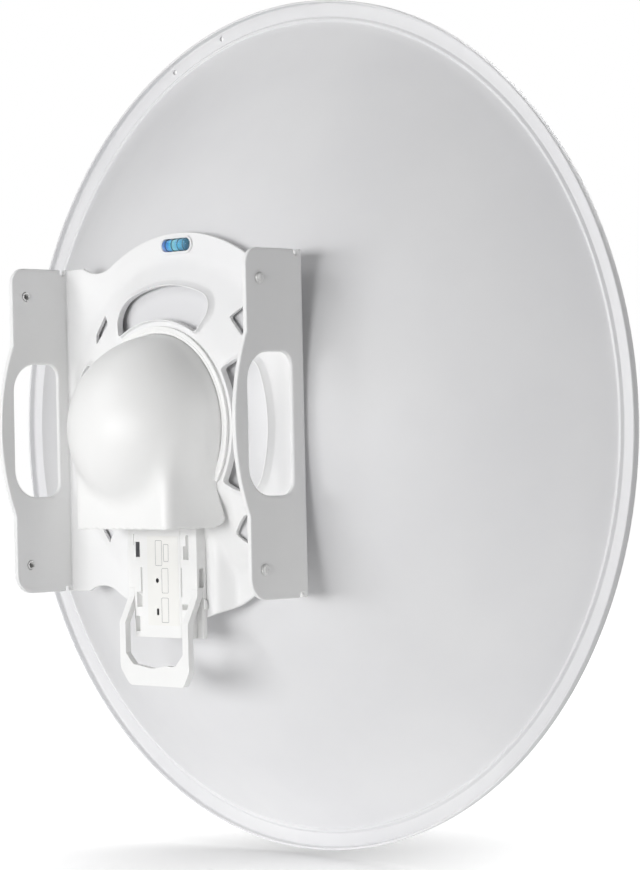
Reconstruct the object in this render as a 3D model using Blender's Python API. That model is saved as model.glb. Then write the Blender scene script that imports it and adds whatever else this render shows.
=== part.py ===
"""Rear-mounted microwave dish antenna: spun reflector, pressed bracket with two ears,
domed rear housing, port block with a pull handle, and a feed on the reflector's axis.

Sizes are in metres. The pieces are drawn round the dish axis: X to the right seen from
behind, Y forwards out of the dish, Z up, with Y = 0 in the plane of the rim flange.
The empty dish_axis then puts the part's origin on the right ear's outer face."""

import math

import bmesh
import bpy
from mathutils import Matrix, Vector

MM = 0.001
GAP = 0.3 * MM

# Reflector
RIM_R = 325.0 * MM
LIP_DEPTH = 5.2 * MM
FLANGE_IN_R = 311.5 * MM
BOWL_R = 309.5 * MM
SKIN = 1.8 * MM
BEAD_RISE = 1.6 * MM
HUB_HOLE_R = 37.0 * MM
TURN_STEPS = 64
BOWL_RINGS = 10
RIM_HOLE_R = 2.0 * MM
RIM_HOLE_CIRCLE = 319.0 * MM
RIM_HOLE_ANGLES = (105.3, 115.9)

# Bracket
SHEET = 3.0 * MM
PLATE_REAR = -130.0 * MM
PLATE_DISC_R = 143.5 * MM
PLATE_HALF_Z = 123.0 * MM
EAR_FACE_X = 128.7 * MM
EAR_SHEET = 4.0 * MM
BEND_R = 4.6 * MM
SCALLOP_R = 31.0 * MM
SCALLOP_X = 90.0 * MM
PRESSED_R = 124.0 * MM
HUB_SEAT_R = 76.0 * MM
HUB_SEAT = -150.8 * MM
HUB_OPENING_R = 56.0 * MM
CHANNEL_TOP = -141.5 * MM
CHANNEL_HALF = 46.0 * MM
CHANNEL_FOOT = 59.0 * MM
WINDOW_IN_R = 79.0 * MM
WINDOW_OUT_R = 104.0 * MM
WINDOW_HALF_ANGLE = 32.0
EAR_EDGE = -184.5 * MM
EAR_BULGE = 12.7 * MM
EAR_BULGE_HALF = 64.0 * MM
EAR_TOP_CORNER = 12.0 * MM
EAR_LOW_CORNER = 15.0 * MM
GRIP_OUT = -184.0 * MM
GRIP_IN = -141.0 * MM
GRIP_HALF_Z = 50.3 * MM
BOLT_Y = -171.2 * MM
BOLT_Z = 101.7 * MM
BOLT_HOLE_R = 3.6 * MM
RELIEF_R = 2.2 * MM
RELIEF_Y = -134.5 * MM
HOOK_SLOT = ((60.0, 78.0), (72.0, 87.5), (86.0, 73.0), (80.5, 65.5))
PLATE_CUT = (-170.0 * MM, -120.0 * MM)
PORT_CUT_LOW = -107.0 * MM
PORT_CUT_HIGH = -40.0 * MM
PORT_CUT_MARGIN = 1.0 * MM
SPACER_IN_R = 62.0 * MM
SPACER_OUT_R = 74.0 * MM

# Origin: on the right ear's outer face, on the strip outside the hand opening
MOUNT_Y = -190.5 * MM

# Rear housing
DOME_R = 66.0 * MM
DOME_CENTRE = -153.1 * MM
HOUSING_WALL = 2.6 * MM
HOOD_REAR = -191.5 * MM
HOOD_REAR_HALF = 50.5 * MM
HOOD_BASE_HALF = 60.0 * MM
HOOD_LOW = -73.5 * MM
HOOD_ROUND = 7.0 * MM
HOOD_TOP = -4.0 * MM
COLLAR_IN_R = 71.0 * MM
COLLAR_OUT_R = 75.5 * MM
COLLAR_HEIGHT = 5.2 * MM
COLLAR_END = 31.0
TAB_WIDTH = 10.0 * MM
TAB_RISE = 3.6 * MM
TAB_LENGTH = 11.0 * MM
TAB_TURN = -47.0

# Port block under the hood
BLOCK_HALF = 37.0 * MM
BLOCK_REAR = -151.0 * MM
BLOCK_TOP = -62.0 * MM
BLOCK_LOW = -154.0 * MM
TONGUE_LOW = -80.0 * MM
TONGUE_FRONT = -147.0 * MM
SHOULDER_Z = -118.0 * MM
ARM_WIDTH = 6.0 * MM
ARM_DEPTH = 5.0 * MM
VENT_X = 25.0 * MM
VENT_WIDTH = 4.0 * MM
VENT_DEPTH = 4.5 * MM
VENTS = ((-88.5 * MM, 11.0 * MM), (-142.0 * MM, 10.0 * MM))
POCKET_WALL = 4.0 * MM
POCKET_Y = (BLOCK_REAR + 2.2 * MM, BLOCK_REAR + 7.8 * MM)
POCKET_Z = (-115.0 * MM, -101.0 * MM)
LATCH_Y = (BLOCK_REAR + 5.4 * MM, BLOCK_REAR + 8.8 * MM)
LATCH_Z = (-133.0 * MM, -127.0 * MM, -125.0 * MM)
LATCH_THICK = 1.4 * MM
COVER_HALF = 20.0 * MM
COVER_DEPTH = 1.8 * MM
COVER_PROUD = 0.6 * MM
COVER_TOP = BLOCK_TOP - 4.0 * MM
PEEPHOLE_R = 1.6 * MM
PEEPHOLE_Z = -112.0 * MM
KEYHOLE_HALF = 0.9 * MM
KEYHOLE_Z = (-136.5 * MM, -132.0 * MM)
HANDLE_REAR = -158.5 * MM
HANDLE_LOW = -189.0 * MM
HANDLE_BAR = 16.5 * MM
HANDLE_CHAMFER = 9.0 * MM
HANDLE_TILT = 3.0 * MM
RAMP_TOP = -123.5 * MM
RAMP_LOW = -143.0 * MM

# Bubble level in the plate's upper edge
LEVEL_Z = 134.3 * MM
VIAL_R = 4.5 * MM
VIAL_LENGTH = 30.4 * MM
VIAL_Y = -129.2 * MM
BEZEL_WIDTH = 2.0 * MM
BEZEL_HEIGHT = 0.9 * MM

# Feed on the reflector's axis
FEED_R = 33.0 * MM
FEED_REAR = -182.0 * MM
FEED_SHOULDER = -78.0 * MM
FEED_NECK = -24.0 * MM
FEED_NECK_R = 27.5 * MM
BAND_LOW = -86.0 * MM
BAND_HIGH = -80.0 * MM
BAND_R = 35.2 * MM
HEAD_R = 47.0 * MM
HEAD_FRONT = 9.0 * MM
SEAL_R = 45.8 * MM
SEAL_THICK = 2.0 * MM
CAP_SKIRT = 4.0 * MM
CAP_FRONT = 27.0 * MM
FLANGE_R = 54.0 * MM
FLANGE_THICK = 5.0 * MM
FLANGE_BOSS = 7.0 * MM
FLANGE_BOLT_CIRCLE = 46.0 * MM
SCREW_HEAD_R = 3.4 * MM
SCREW_HEAD = 2.6 * MM

# Depth of the bowl: its skin passes a gap in front of the sheet where the pressing starts
BOWL_DEPTH = -(PLATE_REAR + SHEET + GAP) / (1.0 - (PRESSED_R / BOWL_R) ** 2)


def clear_scene():
    for obj in list(bpy.data.objects):
        bpy.data.objects.remove(obj, do_unlink=True)


def material(name, colour, roughness, metallic=0.0):
    """A Principled material in one colour."""
    mat = bpy.data.materials.new(name)
    mat.use_nodes = True
    shader = mat.node_tree.nodes["Principled BSDF"]
    shader.inputs["Base Color"].default_value = (*colour, 1.0)
    shader.inputs["Roughness"].default_value = roughness
    shader.inputs["Metallic"].default_value = metallic
    return mat


def arc(centre, radius, start, end, steps):
    """Points of an arc, by angles in degrees."""
    points = []
    for i in range(steps + 1):
        a = math.radians(start + (end - start) * i / steps)
        points.append((centre[0] + radius * math.cos(a), centre[1] + radius * math.sin(a)))
    return points


def rounded(corners, steps=4):
    """An outline from (x, y, radius) corners, each rounded by an arc."""
    points = []
    for i, (x, y, radius) in enumerate(corners):
        here = Vector((x, y))
        if radius == 0.0:
            points.append((x, y))
            continue
        before = (Vector(corners[i - 1][:2]) - here).normalized()
        after = (Vector(corners[(i + 1) % len(corners)][:2]) - here).normalized()
        half = before.angle(after) / 2.0
        centre = here + (before + after).normalized() * radius / math.sin(half)
        first = here + before * radius / math.tan(half) - centre
        last = here + after * radius / math.tan(half) - centre
        turn = first.angle_signed(last)
        for k in range(steps + 1):
            a = -turn * k / steps
            spoke = Matrix.Rotation(a, 2) @ first
            points.append(tuple(centre + spoke))
    return points


def box_outline(low, high, radius=0.0):
    """A rectangle from two opposite corners, as (x, y) points."""
    corners = [(low[0], low[1]), (high[0], low[1]), (high[0], high[1]), (low[0], high[1])]
    return rounded([(x, y, radius) for x, y in corners])


def racetrack(centre, length, width, steps=8):
    """A slot outline with round ends, lying along the first axis."""
    r = width / 2.0
    reach = length / 2.0 - r
    right = arc((centre[0] + reach, centre[1]), r, -90.0, 90.0, steps)
    left = arc((centre[0] - reach, centre[1]), r, 90.0, 270.0, steps)
    return right + left


def place(u, v, w, plane):
    """A point of an outline (u, v) at height w above its plane."""
    if plane == "XZ":
        return (u, w, v)
    if plane == "YZ":
        return (w, u, v)
    return (u, v, w)


def add_prism(bm, outline, plane, low, high):
    """Adds an outline extruded from low to high across its plane."""
    verts = [bm.verts.new(place(u, v, low, plane)) for u, v in outline]
    face = bm.faces.new(verts)
    made = bmesh.ops.extrude_face_region(bm, geom=[face])
    moved = [g for g in made["geom"] if isinstance(g, bmesh.types.BMVert)]
    bmesh.ops.translate(bm, verts=moved, vec=place(0.0, 0.0, high - low, plane))


def add_ordered_prism(bm, outline, plane, one, other):
    """A prism between two heights given in either order."""
    add_prism(bm, outline, plane, min(one, other), max(one, other))


def add_turned(bm, profile, steps, closed=True):
    """Adds a (radius, y) profile turned round the dish axis."""
    verts = [bm.verts.new((r, y, 0.0)) for r, y in profile]
    pairs = list(zip(verts, verts[1:]))
    if closed:
        pairs.append((verts[-1], verts[0]))
    edges = [bm.edges.new(pair) for pair in pairs]
    bmesh.ops.spin(
        bm,
        geom=verts + edges,
        cent=(0.0, 0.0, 0.0),
        axis=(0.0, 1.0, 0.0),
        angle=2.0 * math.pi,
        steps=steps,
        use_merge=True,
    )


def turn_verts(bm, degrees, axis):
    """Turns everything about one of the dish axes."""
    turn = Matrix.Rotation(math.radians(degrees), 3, axis)
    bmesh.ops.rotate(bm, verts=bm.verts, cent=(0.0, 0.0, 0.0), matrix=turn)


def finish_mesh(bm, name):
    bmesh.ops.remove_doubles(bm, verts=bm.verts, dist=1e-7)
    bmesh.ops.recalc_face_normals(bm, faces=bm.faces)
    mesh = bpy.data.meshes.new(name)
    bm.to_mesh(mesh)
    bm.free()
    return mesh


def piece(name, bm, mat, smooth=None):
    """A named piece of the antenna, carried by the dish axis."""
    mesh = finish_mesh(bm, name)
    if smooth is not None:
        mesh.shade_smooth()
        mesh.set_sharp_from_angle(angle=math.radians(smooth))
    mesh.materials.append(mat)
    obj = bpy.data.objects.new(name, mesh)
    bpy.context.scene.collection.objects.link(obj)
    obj.parent = bpy.data.objects["dish_axis"]
    return obj


def helper(name, bm):
    """A shape that only a Boolean uses."""
    obj = bpy.data.objects.new(name, finish_mesh(bm, name))
    bpy.context.scene.collection.objects.link(obj)
    obj.parent = bpy.data.objects["dish_axis"]
    obj.hide_render = True
    obj.display_type = "WIRE"
    return obj


def combine(obj, other, operation):
    """An exact Boolean of two pieces, left live on the first."""
    modifier = obj.modifiers.new(other.name, "BOOLEAN")
    modifier.operation = operation
    modifier.solver = "EXACT"
    modifier.object = other


def bowl_rear(r):
    """Y of the bowl's rear face at a radius."""
    return -BOWL_DEPTH * (1.0 - (r / BOWL_R) ** 2)


def rear_curve(first, last, steps, lift):
    """Points along the bowl's rear face, moved forwards by lift."""
    points = []
    for i in range(steps + 1):
        r = first + (last - first) * i / steps
        points.append((r, bowl_rear(r) + lift))
    return points


def dish_reflector(mat):
    bm = bmesh.new()
    rear = rear_curve(HUB_HOLE_R, BOWL_R, BOWL_RINGS, 0.0)
    bead = [(BOWL_R + 1.0 * MM, -BEAD_RISE), (FLANGE_IN_R, -BEAD_RISE / 2.0)]
    flange_rear = [(FLANGE_IN_R + 0.8 * MM, 0.0), (RIM_R - SKIN, 0.0)]
    lip = [(RIM_R - SKIN, -LIP_DEPTH), (RIM_R - 0.5 * MM, -LIP_DEPTH)]
    edge = [(RIM_R, -LIP_DEPTH + 0.5 * MM), (RIM_R, SKIN - 1.2 * MM), (RIM_R - 1.2 * MM, SKIN)]
    front = rear_curve(BOWL_R, HUB_HOLE_R, BOWL_RINGS, SKIN)
    front[0] = (BOWL_R - 0.5 * MM, SKIN)
    add_turned(bm, rear + bead + flange_rear + lip + edge + front, TURN_STEPS)
    dish = piece("dish_reflector", bm, mat, smooth=35.0)

    holes = bmesh.new()
    for angle in RIM_HOLE_ANGLES:
        a = math.radians(angle)
        centre = (RIM_HOLE_CIRCLE * math.cos(a), RIM_HOLE_CIRCLE * math.sin(a))
        add_prism(holes, arc(centre, RIM_HOLE_R, 0.0, 330.0, 11), "XZ", -4.0 * MM, 6.0 * MM)
    combine(dish, helper("cut_rim_holes", holes), "DIFFERENCE")


def plate_outline():
    """The plate seen from behind: a disc on a rectangle, with a round dip at each joint."""
    scallop_z = math.sqrt((PLATE_DISC_R + SCALLOP_R) ** 2 - SCALLOP_X**2)
    touch = math.degrees(math.atan2(scallop_z, SCALLOP_X))
    exit_angle = math.degrees(math.asin((scallop_z - PLATE_HALF_Z) / SCALLOP_R))
    quarter = [(EAR_FACE_X - BEND_R + 0.5 * MM, PLATE_HALF_Z)]
    quarter += arc((SCALLOP_X, scallop_z), SCALLOP_R, -exit_angle, touch - 180.0, 6)
    quarter += arc((0.0, 0.0), PLATE_DISC_R, touch, 90.0, 8)[1:]
    left_top = [(-x, z) for x, z in reversed(quarter[:-1])]
    top = quarter + left_top
    bottom = [(-x, -z) for x, z in top]
    return top + bottom


def pressed_profile(lift):
    """Half section of the pressed centre, from the axis outwards."""
    span = PRESSED_R - HUB_SEAT_R
    drop = PLATE_REAR - HUB_SEAT
    points = [(0.0, HUB_SEAT + lift), (HUB_SEAT_R, HUB_SEAT + lift)]
    for i in range(1, 6):
        t = i / 6.0
        points.append((HUB_SEAT_R + span * t, HUB_SEAT + drop * t**1.25 + lift))
    front = PLATE_REAR + 10.0 * MM + lift
    return points + [(PRESSED_R, PLATE_REAR + lift), (PRESSED_R + 1.0 * MM, front), (0.0, front)]


def pressed_form(name, lift, reach):
    """The plate's rear face as a solid: slab, pressed centre and the channel below it."""
    slab = bmesh.new()
    outline = box_outline((-reach, -reach), (reach, reach))
    add_prism(slab, outline, "XZ", PLATE_REAR + lift, PLATE_REAR + 20.0 * MM + reach / 10.0)
    form = helper(name, slab)

    centre = bmesh.new()
    add_turned(centre, pressed_profile(lift), TURN_STEPS, closed=False)
    combine(form, helper(name + "_centre", centre), "UNION")

    half = [
        (CHANNEL_FOOT, PLATE_REAR + 10.0 * MM),
        (CHANNEL_FOOT, PLATE_REAR),
        (CHANNEL_FOOT - 3.0 * MM, PLATE_REAR - 2.6 * MM),
        (CHANNEL_HALF + 4.5 * MM, CHANNEL_TOP + 2.6 * MM),
        (CHANNEL_HALF + 2.2 * MM, CHANNEL_TOP + 0.7 * MM),
        (CHANNEL_HALF, CHANNEL_TOP),
    ]
    section = [(x, y + lift) for x, y in half] + [(-x, y + lift) for x, y in reversed(half)]
    channel = bmesh.new()
    add_prism(channel, section, "XY", -150.0 * MM, -60.0 * MM)
    combine(form, helper(name + "_channel", channel), "UNION")
    return form


def ear_outline():
    """An ear seen from the side, as (y, z) points, with the hand grip's bulge."""
    radius = (EAR_BULGE_HALF**2 + EAR_BULGE**2) / (2.0 * EAR_BULGE)
    swing = math.degrees(math.asin(EAR_BULGE_HALF / radius))
    centre_y = EAR_EDGE - EAR_BULGE + radius
    bulge = arc((centre_y, 0.0), radius, 180.0 + swing, 180.0 - swing, 14)
    root = PLATE_REAR + SHEET
    low = [(root, -PLATE_HALF_Z, 0.0), (EAR_EDGE, -PLATE_HALF_Z, EAR_LOW_CORNER)]
    high = [(EAR_EDGE, PLATE_HALF_Z, EAR_TOP_CORNER), (root, PLATE_HALF_Z, 0.0)]
    return rounded(low + [(y, z, 0.0) for y, z in bulge] + high, 5)


def bend_section(side):
    """Section of the bend and ear in plan: round outside and inside the fold."""
    outer = EAR_FACE_X
    inner = EAR_FACE_X - EAR_SHEET
    front = PLATE_REAR + SHEET
    tip = EAR_EDGE - EAR_BULGE - 2.0 * MM
    root = EAR_FACE_X - BEND_R
    corners = [
        (root, front, 0.0),
        (outer, front, BEND_R),
        (outer, tip, 0.0),
        (inner, tip, 0.0),
        (inner, PLATE_REAR, BEND_R - EAR_SHEET),
        (root, PLATE_REAR, 0.0),
    ]
    return [(side * x, y) for x, y in rounded(corners, 5)]


def ear_blank(side):
    """One ear with its bend, cut to the ear's outline."""
    name = "ear_right" if side > 0 else "ear_left"
    bend = bmesh.new()
    add_prism(bend, bend_section(side), "XY", -PLATE_HALF_Z, PLATE_HALF_Z)
    ear = helper(name, bend)
    outline = bmesh.new()
    near = side * (EAR_FACE_X - 20.0 * MM)
    far = side * (EAR_FACE_X + 10.0 * MM)
    add_ordered_prism(outline, ear_outline(), "YZ", near, far)
    combine(ear, helper(name + "_outline", outline), "INTERSECT")
    return ear


def grip_outline():
    """The hand opening: near-square corners at the fold, large ones outside."""
    corners = [
        (GRIP_IN, -GRIP_HALF_Z, 10.0 * MM),
        (GRIP_OUT, -GRIP_HALF_Z, 21.0 * MM),
        (GRIP_OUT, GRIP_HALF_Z, 21.0 * MM),
        (GRIP_IN, GRIP_HALF_Z, 10.0 * MM),
    ]
    return rounded(corners, 6)


def window_outline(turn):
    """A kidney window round the hub, turned from straight up, as (x, z) points."""
    middle = (WINDOW_IN_R + WINDOW_OUT_R) / 2.0
    reach = math.radians(WINDOW_HALF_ANGLE) * middle
    corners = [
        (-reach, WINDOW_IN_R, 2.5 * MM),
        (reach, WINDOW_IN_R, 2.5 * MM),
        (reach, WINDOW_OUT_R, 15.0 * MM),
        (-reach, WINDOW_OUT_R, 15.0 * MM),
    ]
    flat = rounded(corners, 4)
    points = []
    for i, (s, r) in enumerate(flat):
        points.append((s, r))
        s_next, r_next = flat[(i + 1) % len(flat)]
        steps = int(abs(s_next - s) / (7.0 * MM))
        for k in range(1, steps):
            points.append((s + (s_next - s) * k / steps, r + (r_next - r) * k / steps))
    turned = []
    for s, r in points:
        a = s / middle + math.radians(turn)
        turned.append((r * math.sin(a), r * math.cos(a)))
    return turned


def hook_slot(x_side, z_side):
    """A small three-cornered slot on a diagonal of the plate."""
    return rounded([(x_side * x * MM, z_side * z * MM, 1.5 * MM) for x, z in HOOK_SLOT], 2)


def port_cut(name):
    """The cut-out below the hub, where the port block comes through."""
    width = BLOCK_HALF + PORT_CUT_MARGIN
    bm = bmesh.new()
    add_prism(bm, box_outline((-width, PORT_CUT_LOW), (width, PORT_CUT_HIGH)), "XZ", *PLATE_CUT)
    return helper(name, bm)


def rear_bracket(mat):
    bm = bmesh.new()
    add_prism(bm, plate_outline(), "XZ", HUB_SEAT - 10.0 * MM, PLATE_REAR + 12.0 * MM)
    bracket = piece("rear_bracket", bm, mat, smooth=35.0)
    combine(bracket, pressed_form("sheet_rear", 0.0, 160.0 * MM), "INTERSECT")
    combine(bracket, pressed_form("sheet_front", SHEET, 200.0 * MM), "DIFFERENCE")
    for side in (-1, 1):
        combine(bracket, ear_blank(side), "UNION")

    openings = bmesh.new()
    add_prism(openings, arc((0.0, 0.0), HUB_OPENING_R, 0.0, 354.0, 59), "XZ", *PLATE_CUT)
    for turn in (-90.0, 0.0, 90.0):
        add_prism(openings, window_outline(turn), "XZ", *PLATE_CUT)
    for x_side in (-1, 1):
        for z_side in (-1, 1):
            add_prism(openings, hook_slot(x_side, z_side), "XZ", *PLATE_CUT)
    add_prism(openings, vial_outline(GAP), "XZ", *PLATE_CUT)
    for side in (-1, 1):
        near = side * (EAR_FACE_X - 15.0 * MM)
        far = side * (EAR_FACE_X + 10.0 * MM)
        add_ordered_prism(openings, grip_outline(), "YZ", near, far)
        for end in (-1, 1):
            hole = arc((BOLT_Y, end * BOLT_Z), BOLT_HOLE_R, 0.0, 337.5, 15)
            add_ordered_prism(openings, hole, "YZ", near, far)
            notch = arc((RELIEF_Y, end * PLATE_HALF_Z), RELIEF_R, 0.0, 324.0, 9)
            add_ordered_prism(openings, notch, "YZ", near, far)
    combine(bracket, helper("cut_openings", openings), "DIFFERENCE")
    combine(bracket, port_cut("cut_port"), "DIFFERENCE")


def hub_spacer(mat):
    """A ring between the bowl and the pressed centre, seen through the windows."""
    seat = HUB_SEAT + SHEET + GAP
    front = [(r, bowl_rear(r) - GAP) for r in (SPACER_IN_R, SPACER_OUT_R)]
    rear = [(SPACER_OUT_R, seat), (SPACER_IN_R, seat)]
    bm = bmesh.new()
    add_turned(bm, front + rear, TURN_STEPS)
    ring = piece("hub_spacer", bm, mat, smooth=35.0)
    combine(ring, port_cut("cut_spacer"), "DIFFERENCE")


def housing_collar(mat):
    """The raised ring round the dome, open below for the hood."""
    start = -COLLAR_END
    end = 180.0 + COLLAR_END
    outline = arc((0.0, 0.0), COLLAR_OUT_R, start, end, 44)
    outline += reversed(arc((0.0, 0.0), COLLAR_IN_R, start, end, 44))
    rear = HUB_SEAT - GAP
    bm = bmesh.new()
    add_prism(bm, outline, "XZ", rear - COLLAR_HEIGHT, rear)
    piece("housing_collar", bm, mat, smooth=35.0)


def dome_profile(radius, base, tip_steps):
    """Half section of the dome with a short skirt down to its base."""
    points = [(0.0, base), (radius, base)]
    for i in range(tip_steps + 1):
        a = math.radians(90.0 * i / tip_steps)
        points.append((radius * math.cos(a), DOME_CENTRE - radius * math.sin(a)))
    points[-1] = (0.0, DOME_CENTRE - radius)
    return points


def hood_solid(name, inset, base):
    """The square hood, flaring towards its base, with rounded rear corners."""
    rear = HOOD_REAR + inset
    corners = [
        (-HOOD_BASE_HALF + inset, base, 0.0),
        (HOOD_BASE_HALF - inset, base, 0.0),
        (HOOD_REAR_HALF - inset, rear, HOOD_ROUND - inset),
        (-HOOD_REAR_HALF + inset, rear, HOOD_ROUND - inset),
    ]
    low = HOOD_LOW - (20.0 * MM if inset else 0.0)
    bm = bmesh.new()
    add_prism(bm, rounded(corners, 5), "XY", low, HOOD_TOP - inset)
    return helper(name, bm)


def rear_housing(mat):
    """The dome and its hood, one moulded shell open towards the bracket and below."""
    base = HUB_SEAT - GAP
    bm = bmesh.new()
    add_turned(bm, dome_profile(DOME_R, base, 12), 56, closed=False)
    shell = piece("rear_housing", bm, mat, smooth=40.0)
    combine(shell, hood_solid("hood_outside", 0.0, base), "UNION")

    hollow = bmesh.new()
    deeper = base + 8.0 * MM
    add_turned(hollow, dome_profile(DOME_R - HOUSING_WALL, deeper, 10), 40, closed=False)
    cut = helper("cut_housing", hollow)
    combine(cut, hood_solid("hood_inside", HOUSING_WALL, deeper), "UNION")
    combine(shell, cut, "DIFFERENCE")


def housing_tab(mat):
    """The small catch at the dome's upper left."""
    bm = bmesh.new()
    outline = box_outline((-TAB_WIDTH / 2.0, 0.0), (TAB_WIDTH / 2.0, TAB_RISE), 1.0 * MM)
    add_prism(bm, outline, "XZ", HUB_SEAT - GAP - TAB_LENGTH, HUB_SEAT - GAP)
    bmesh.ops.translate(bm, verts=bm.verts, vec=(0.0, 0.0, DOME_R + GAP))
    turn_verts(bm, TAB_TURN, "Y")
    piece("housing_tab", bm, mat)


def port_block(mat):
    """The block of the radio unit that shows under the hood."""
    front = CHANNEL_TOP - GAP
    over = 5.0 * MM
    behind = BLOCK_REAR - over
    width = BLOCK_HALF + over
    base = bmesh.new()
    face = box_outline((-BLOCK_HALF, BLOCK_LOW), (BLOCK_HALF, BLOCK_TOP))
    add_prism(base, face, "XZ", BLOCK_REAR, front)
    block = piece("port_block", base, mat)

    cuts = bmesh.new()
    step_in = BLOCK_HALF - ARM_WIDTH - GAP
    for side in (-1, 1):
        edges = sorted((side * step_in, side * width))
        step = box_outline((edges[0], BLOCK_LOW - over), (edges[1], SHOULDER_Z))
        add_prism(cuts, step, "XZ", behind, BLOCK_REAR + ARM_DEPTH + GAP)
        edges = (side * VENT_X - VENT_WIDTH / 2.0, side * VENT_X + VENT_WIDTH / 2.0)
        for z, length in VENTS:
            vent = box_outline((edges[0], z - length / 2.0), (edges[1], z + length / 2.0))
            add_prism(cuts, vent, "XZ", behind, BLOCK_REAR + VENT_DEPTH)
        pocket = box_outline((POCKET_Y[0], POCKET_Z[0]), (POCKET_Y[1], POCKET_Z[1]))
        add_ordered_prism(cuts, pocket, "YZ", side * (BLOCK_HALF - POCKET_WALL), side * width)
    tongue = box_outline((-width, TONGUE_LOW), (width, BLOCK_TOP + over))
    add_prism(cuts, tongue, "XZ", TONGUE_FRONT, front + over)
    seat = COVER_HALF + GAP
    panel = box_outline((-seat, BLOCK_LOW - over), (seat, COVER_TOP))
    add_prism(cuts, panel, "XZ", behind, BLOCK_REAR + COVER_DEPTH - COVER_PROUD + GAP)
    combine(block, helper("cut_block", cuts), "DIFFERENCE")


def port_cover(mat):
    """The plain panel over the ports, with two small openings."""
    rear = BLOCK_REAR - COVER_PROUD
    bm = bmesh.new()
    outline = box_outline((-COVER_HALF, BLOCK_LOW), (COVER_HALF, COVER_TOP - GAP), 1.5 * MM)
    add_prism(bm, outline, "XZ", rear, rear + COVER_DEPTH)
    cover = piece("port_cover", bm, mat)
    through = (rear - 10.0 * MM, rear + 10.0 * MM)
    cuts = bmesh.new()
    add_prism(cuts, arc((0.0, PEEPHOLE_Z), PEEPHOLE_R, 0.0, 330.0, 11), "XZ", *through)
    keyhole = box_outline((-KEYHOLE_HALF, KEYHOLE_Z[0]), (KEYHOLE_HALF, KEYHOLE_Z[1]))
    add_prism(cuts, keyhole, "XZ", *through)
    combine(cover, helper("cut_cover", cuts), "DIFFERENCE")


def pull_handle(mat):
    """A U-shaped handle whose arms lie in the block's side steps and then stand rearwards."""
    half = BLOCK_HALF
    bar_top = HANDLE_LOW + HANDLE_BAR
    inner = half - ARM_WIDTH
    top = SHOULDER_Z - GAP
    chamfer = HANDLE_CHAMFER
    outer = [
        (-half, top, 0.0),
        (-half, HANDLE_LOW, chamfer),
        (half, HANDLE_LOW, chamfer),
        (half, top, 0.0),
        (inner, top, 0.0),
        (inner, bar_top, chamfer - 3.0 * MM),
        (-inner, bar_top, chamfer - 3.0 * MM),
        (-inner, top, 0.0),
    ]
    bm = bmesh.new()
    add_prism(bm, rounded(outer, 3), "XZ", HANDLE_REAR - 5.0 * MM, BLOCK_REAR + 10.0 * MM)
    handle = piece("pull_handle", bm, mat)
    rear = [(BLOCK_REAR, 0.0), (BLOCK_REAR, RAMP_TOP), (HANDLE_REAR, RAMP_LOW)]
    rear += [(HANDLE_REAR, bar_top), (HANDLE_REAR + HANDLE_TILT, HANDLE_LOW - 10.0 * MM)]
    side = rear + [(y + ARM_DEPTH, z) for y, z in reversed(rear)]
    profile = bmesh.new()
    add_prism(profile, side, "YZ", -half - 5.0 * MM, half + 5.0 * MM)
    combine(handle, helper("handle_side", profile), "INTERSECT")


def block_latch(mat, side, name):
    """A small hooked catch on each side of the port block."""
    corners = [
        (LATCH_Y[0], LATCH_Z[0], 0.0),
        (LATCH_Y[1], LATCH_Z[0], 0.0),
        (LATCH_Y[1], LATCH_Z[1], 0.6 * MM),
        (LATCH_Y[0], LATCH_Z[2], 0.6 * MM),
    ]
    near = BLOCK_HALF + GAP
    bm = bmesh.new()
    add_ordered_prism(bm, rounded(corners, 2), "YZ", side * near, side * (near + LATCH_THICK))
    piece(name, bm, mat)


def ear_insert(mat, side, end, name):
    """A threaded insert: domed head on the ear's outer face, open thread inside."""
    hole = BOLT_HOLE_R - GAP
    inside = -EAR_SHEET - 0.9 * MM
    profile = [
        (0.0, 2.2 * MM),
        (1.8 * MM, 2.05 * MM),
        (3.3 * MM, 1.5 * MM),
        (4.2 * MM, 0.8 * MM),
        (4.3 * MM, GAP),
        (hole, GAP),
        (hole, inside),
        (2.2 * MM, inside),
        (2.2 * MM, -0.8 * MM),
        (0.0, -0.8 * MM),
    ]
    bm = bmesh.new()
    add_turned(bm, profile, 14, closed=False)
    turn_verts(bm, -90.0 * side, "Z")
    bmesh.ops.translate(bm, verts=bm.verts, vec=(side * EAR_FACE_X, BOLT_Y, end * BOLT_Z))
    piece(name, bm, mat, smooth=40.0)


def vial_outline(margin):
    """The capsule's outline seen from behind, larger all round by a margin."""
    centre = (0.0, LEVEL_Z)
    return racetrack(centre, VIAL_LENGTH + 2.0 * margin, 2.0 * (VIAL_R + margin))


def level_vial(mat):
    """The bubble level's clear capsule, lying across the plate's upper edge."""
    reach = VIAL_LENGTH / 2.0 - VIAL_R
    profile = []
    for i in range(5):
        a = math.radians(90.0 - 22.5 * i)
        profile.append((VIAL_R * math.cos(a), reach + VIAL_R * math.sin(a)))
    profile += [(r, -y) for r, y in reversed(profile)]
    profile[0] = (0.0, profile[0][1])
    profile[-1] = (0.0, profile[-1][1])
    bm = bmesh.new()
    add_turned(bm, profile, 12, closed=False)
    turn_verts(bm, 90.0, "Z")
    bmesh.ops.translate(bm, verts=bm.verts, vec=(0.0, VIAL_Y, LEVEL_Z))
    piece("level_vial", bm, mat, smooth=50.0)


def level_bezel(mat):
    """The low frame that holds the capsule on the plate's rear face."""
    rear = PLATE_REAR - GAP
    bm = bmesh.new()
    add_prism(bm, vial_outline(BEZEL_WIDTH), "XZ", rear - BEZEL_HEIGHT, rear)
    bezel = piece("level_bezel", bm, mat)
    hole = bmesh.new()
    add_prism(hole, vial_outline(GAP), "XZ", *PLATE_CUT)
    combine(bezel, helper("cut_bezel", hole), "DIFFERENCE")


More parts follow.
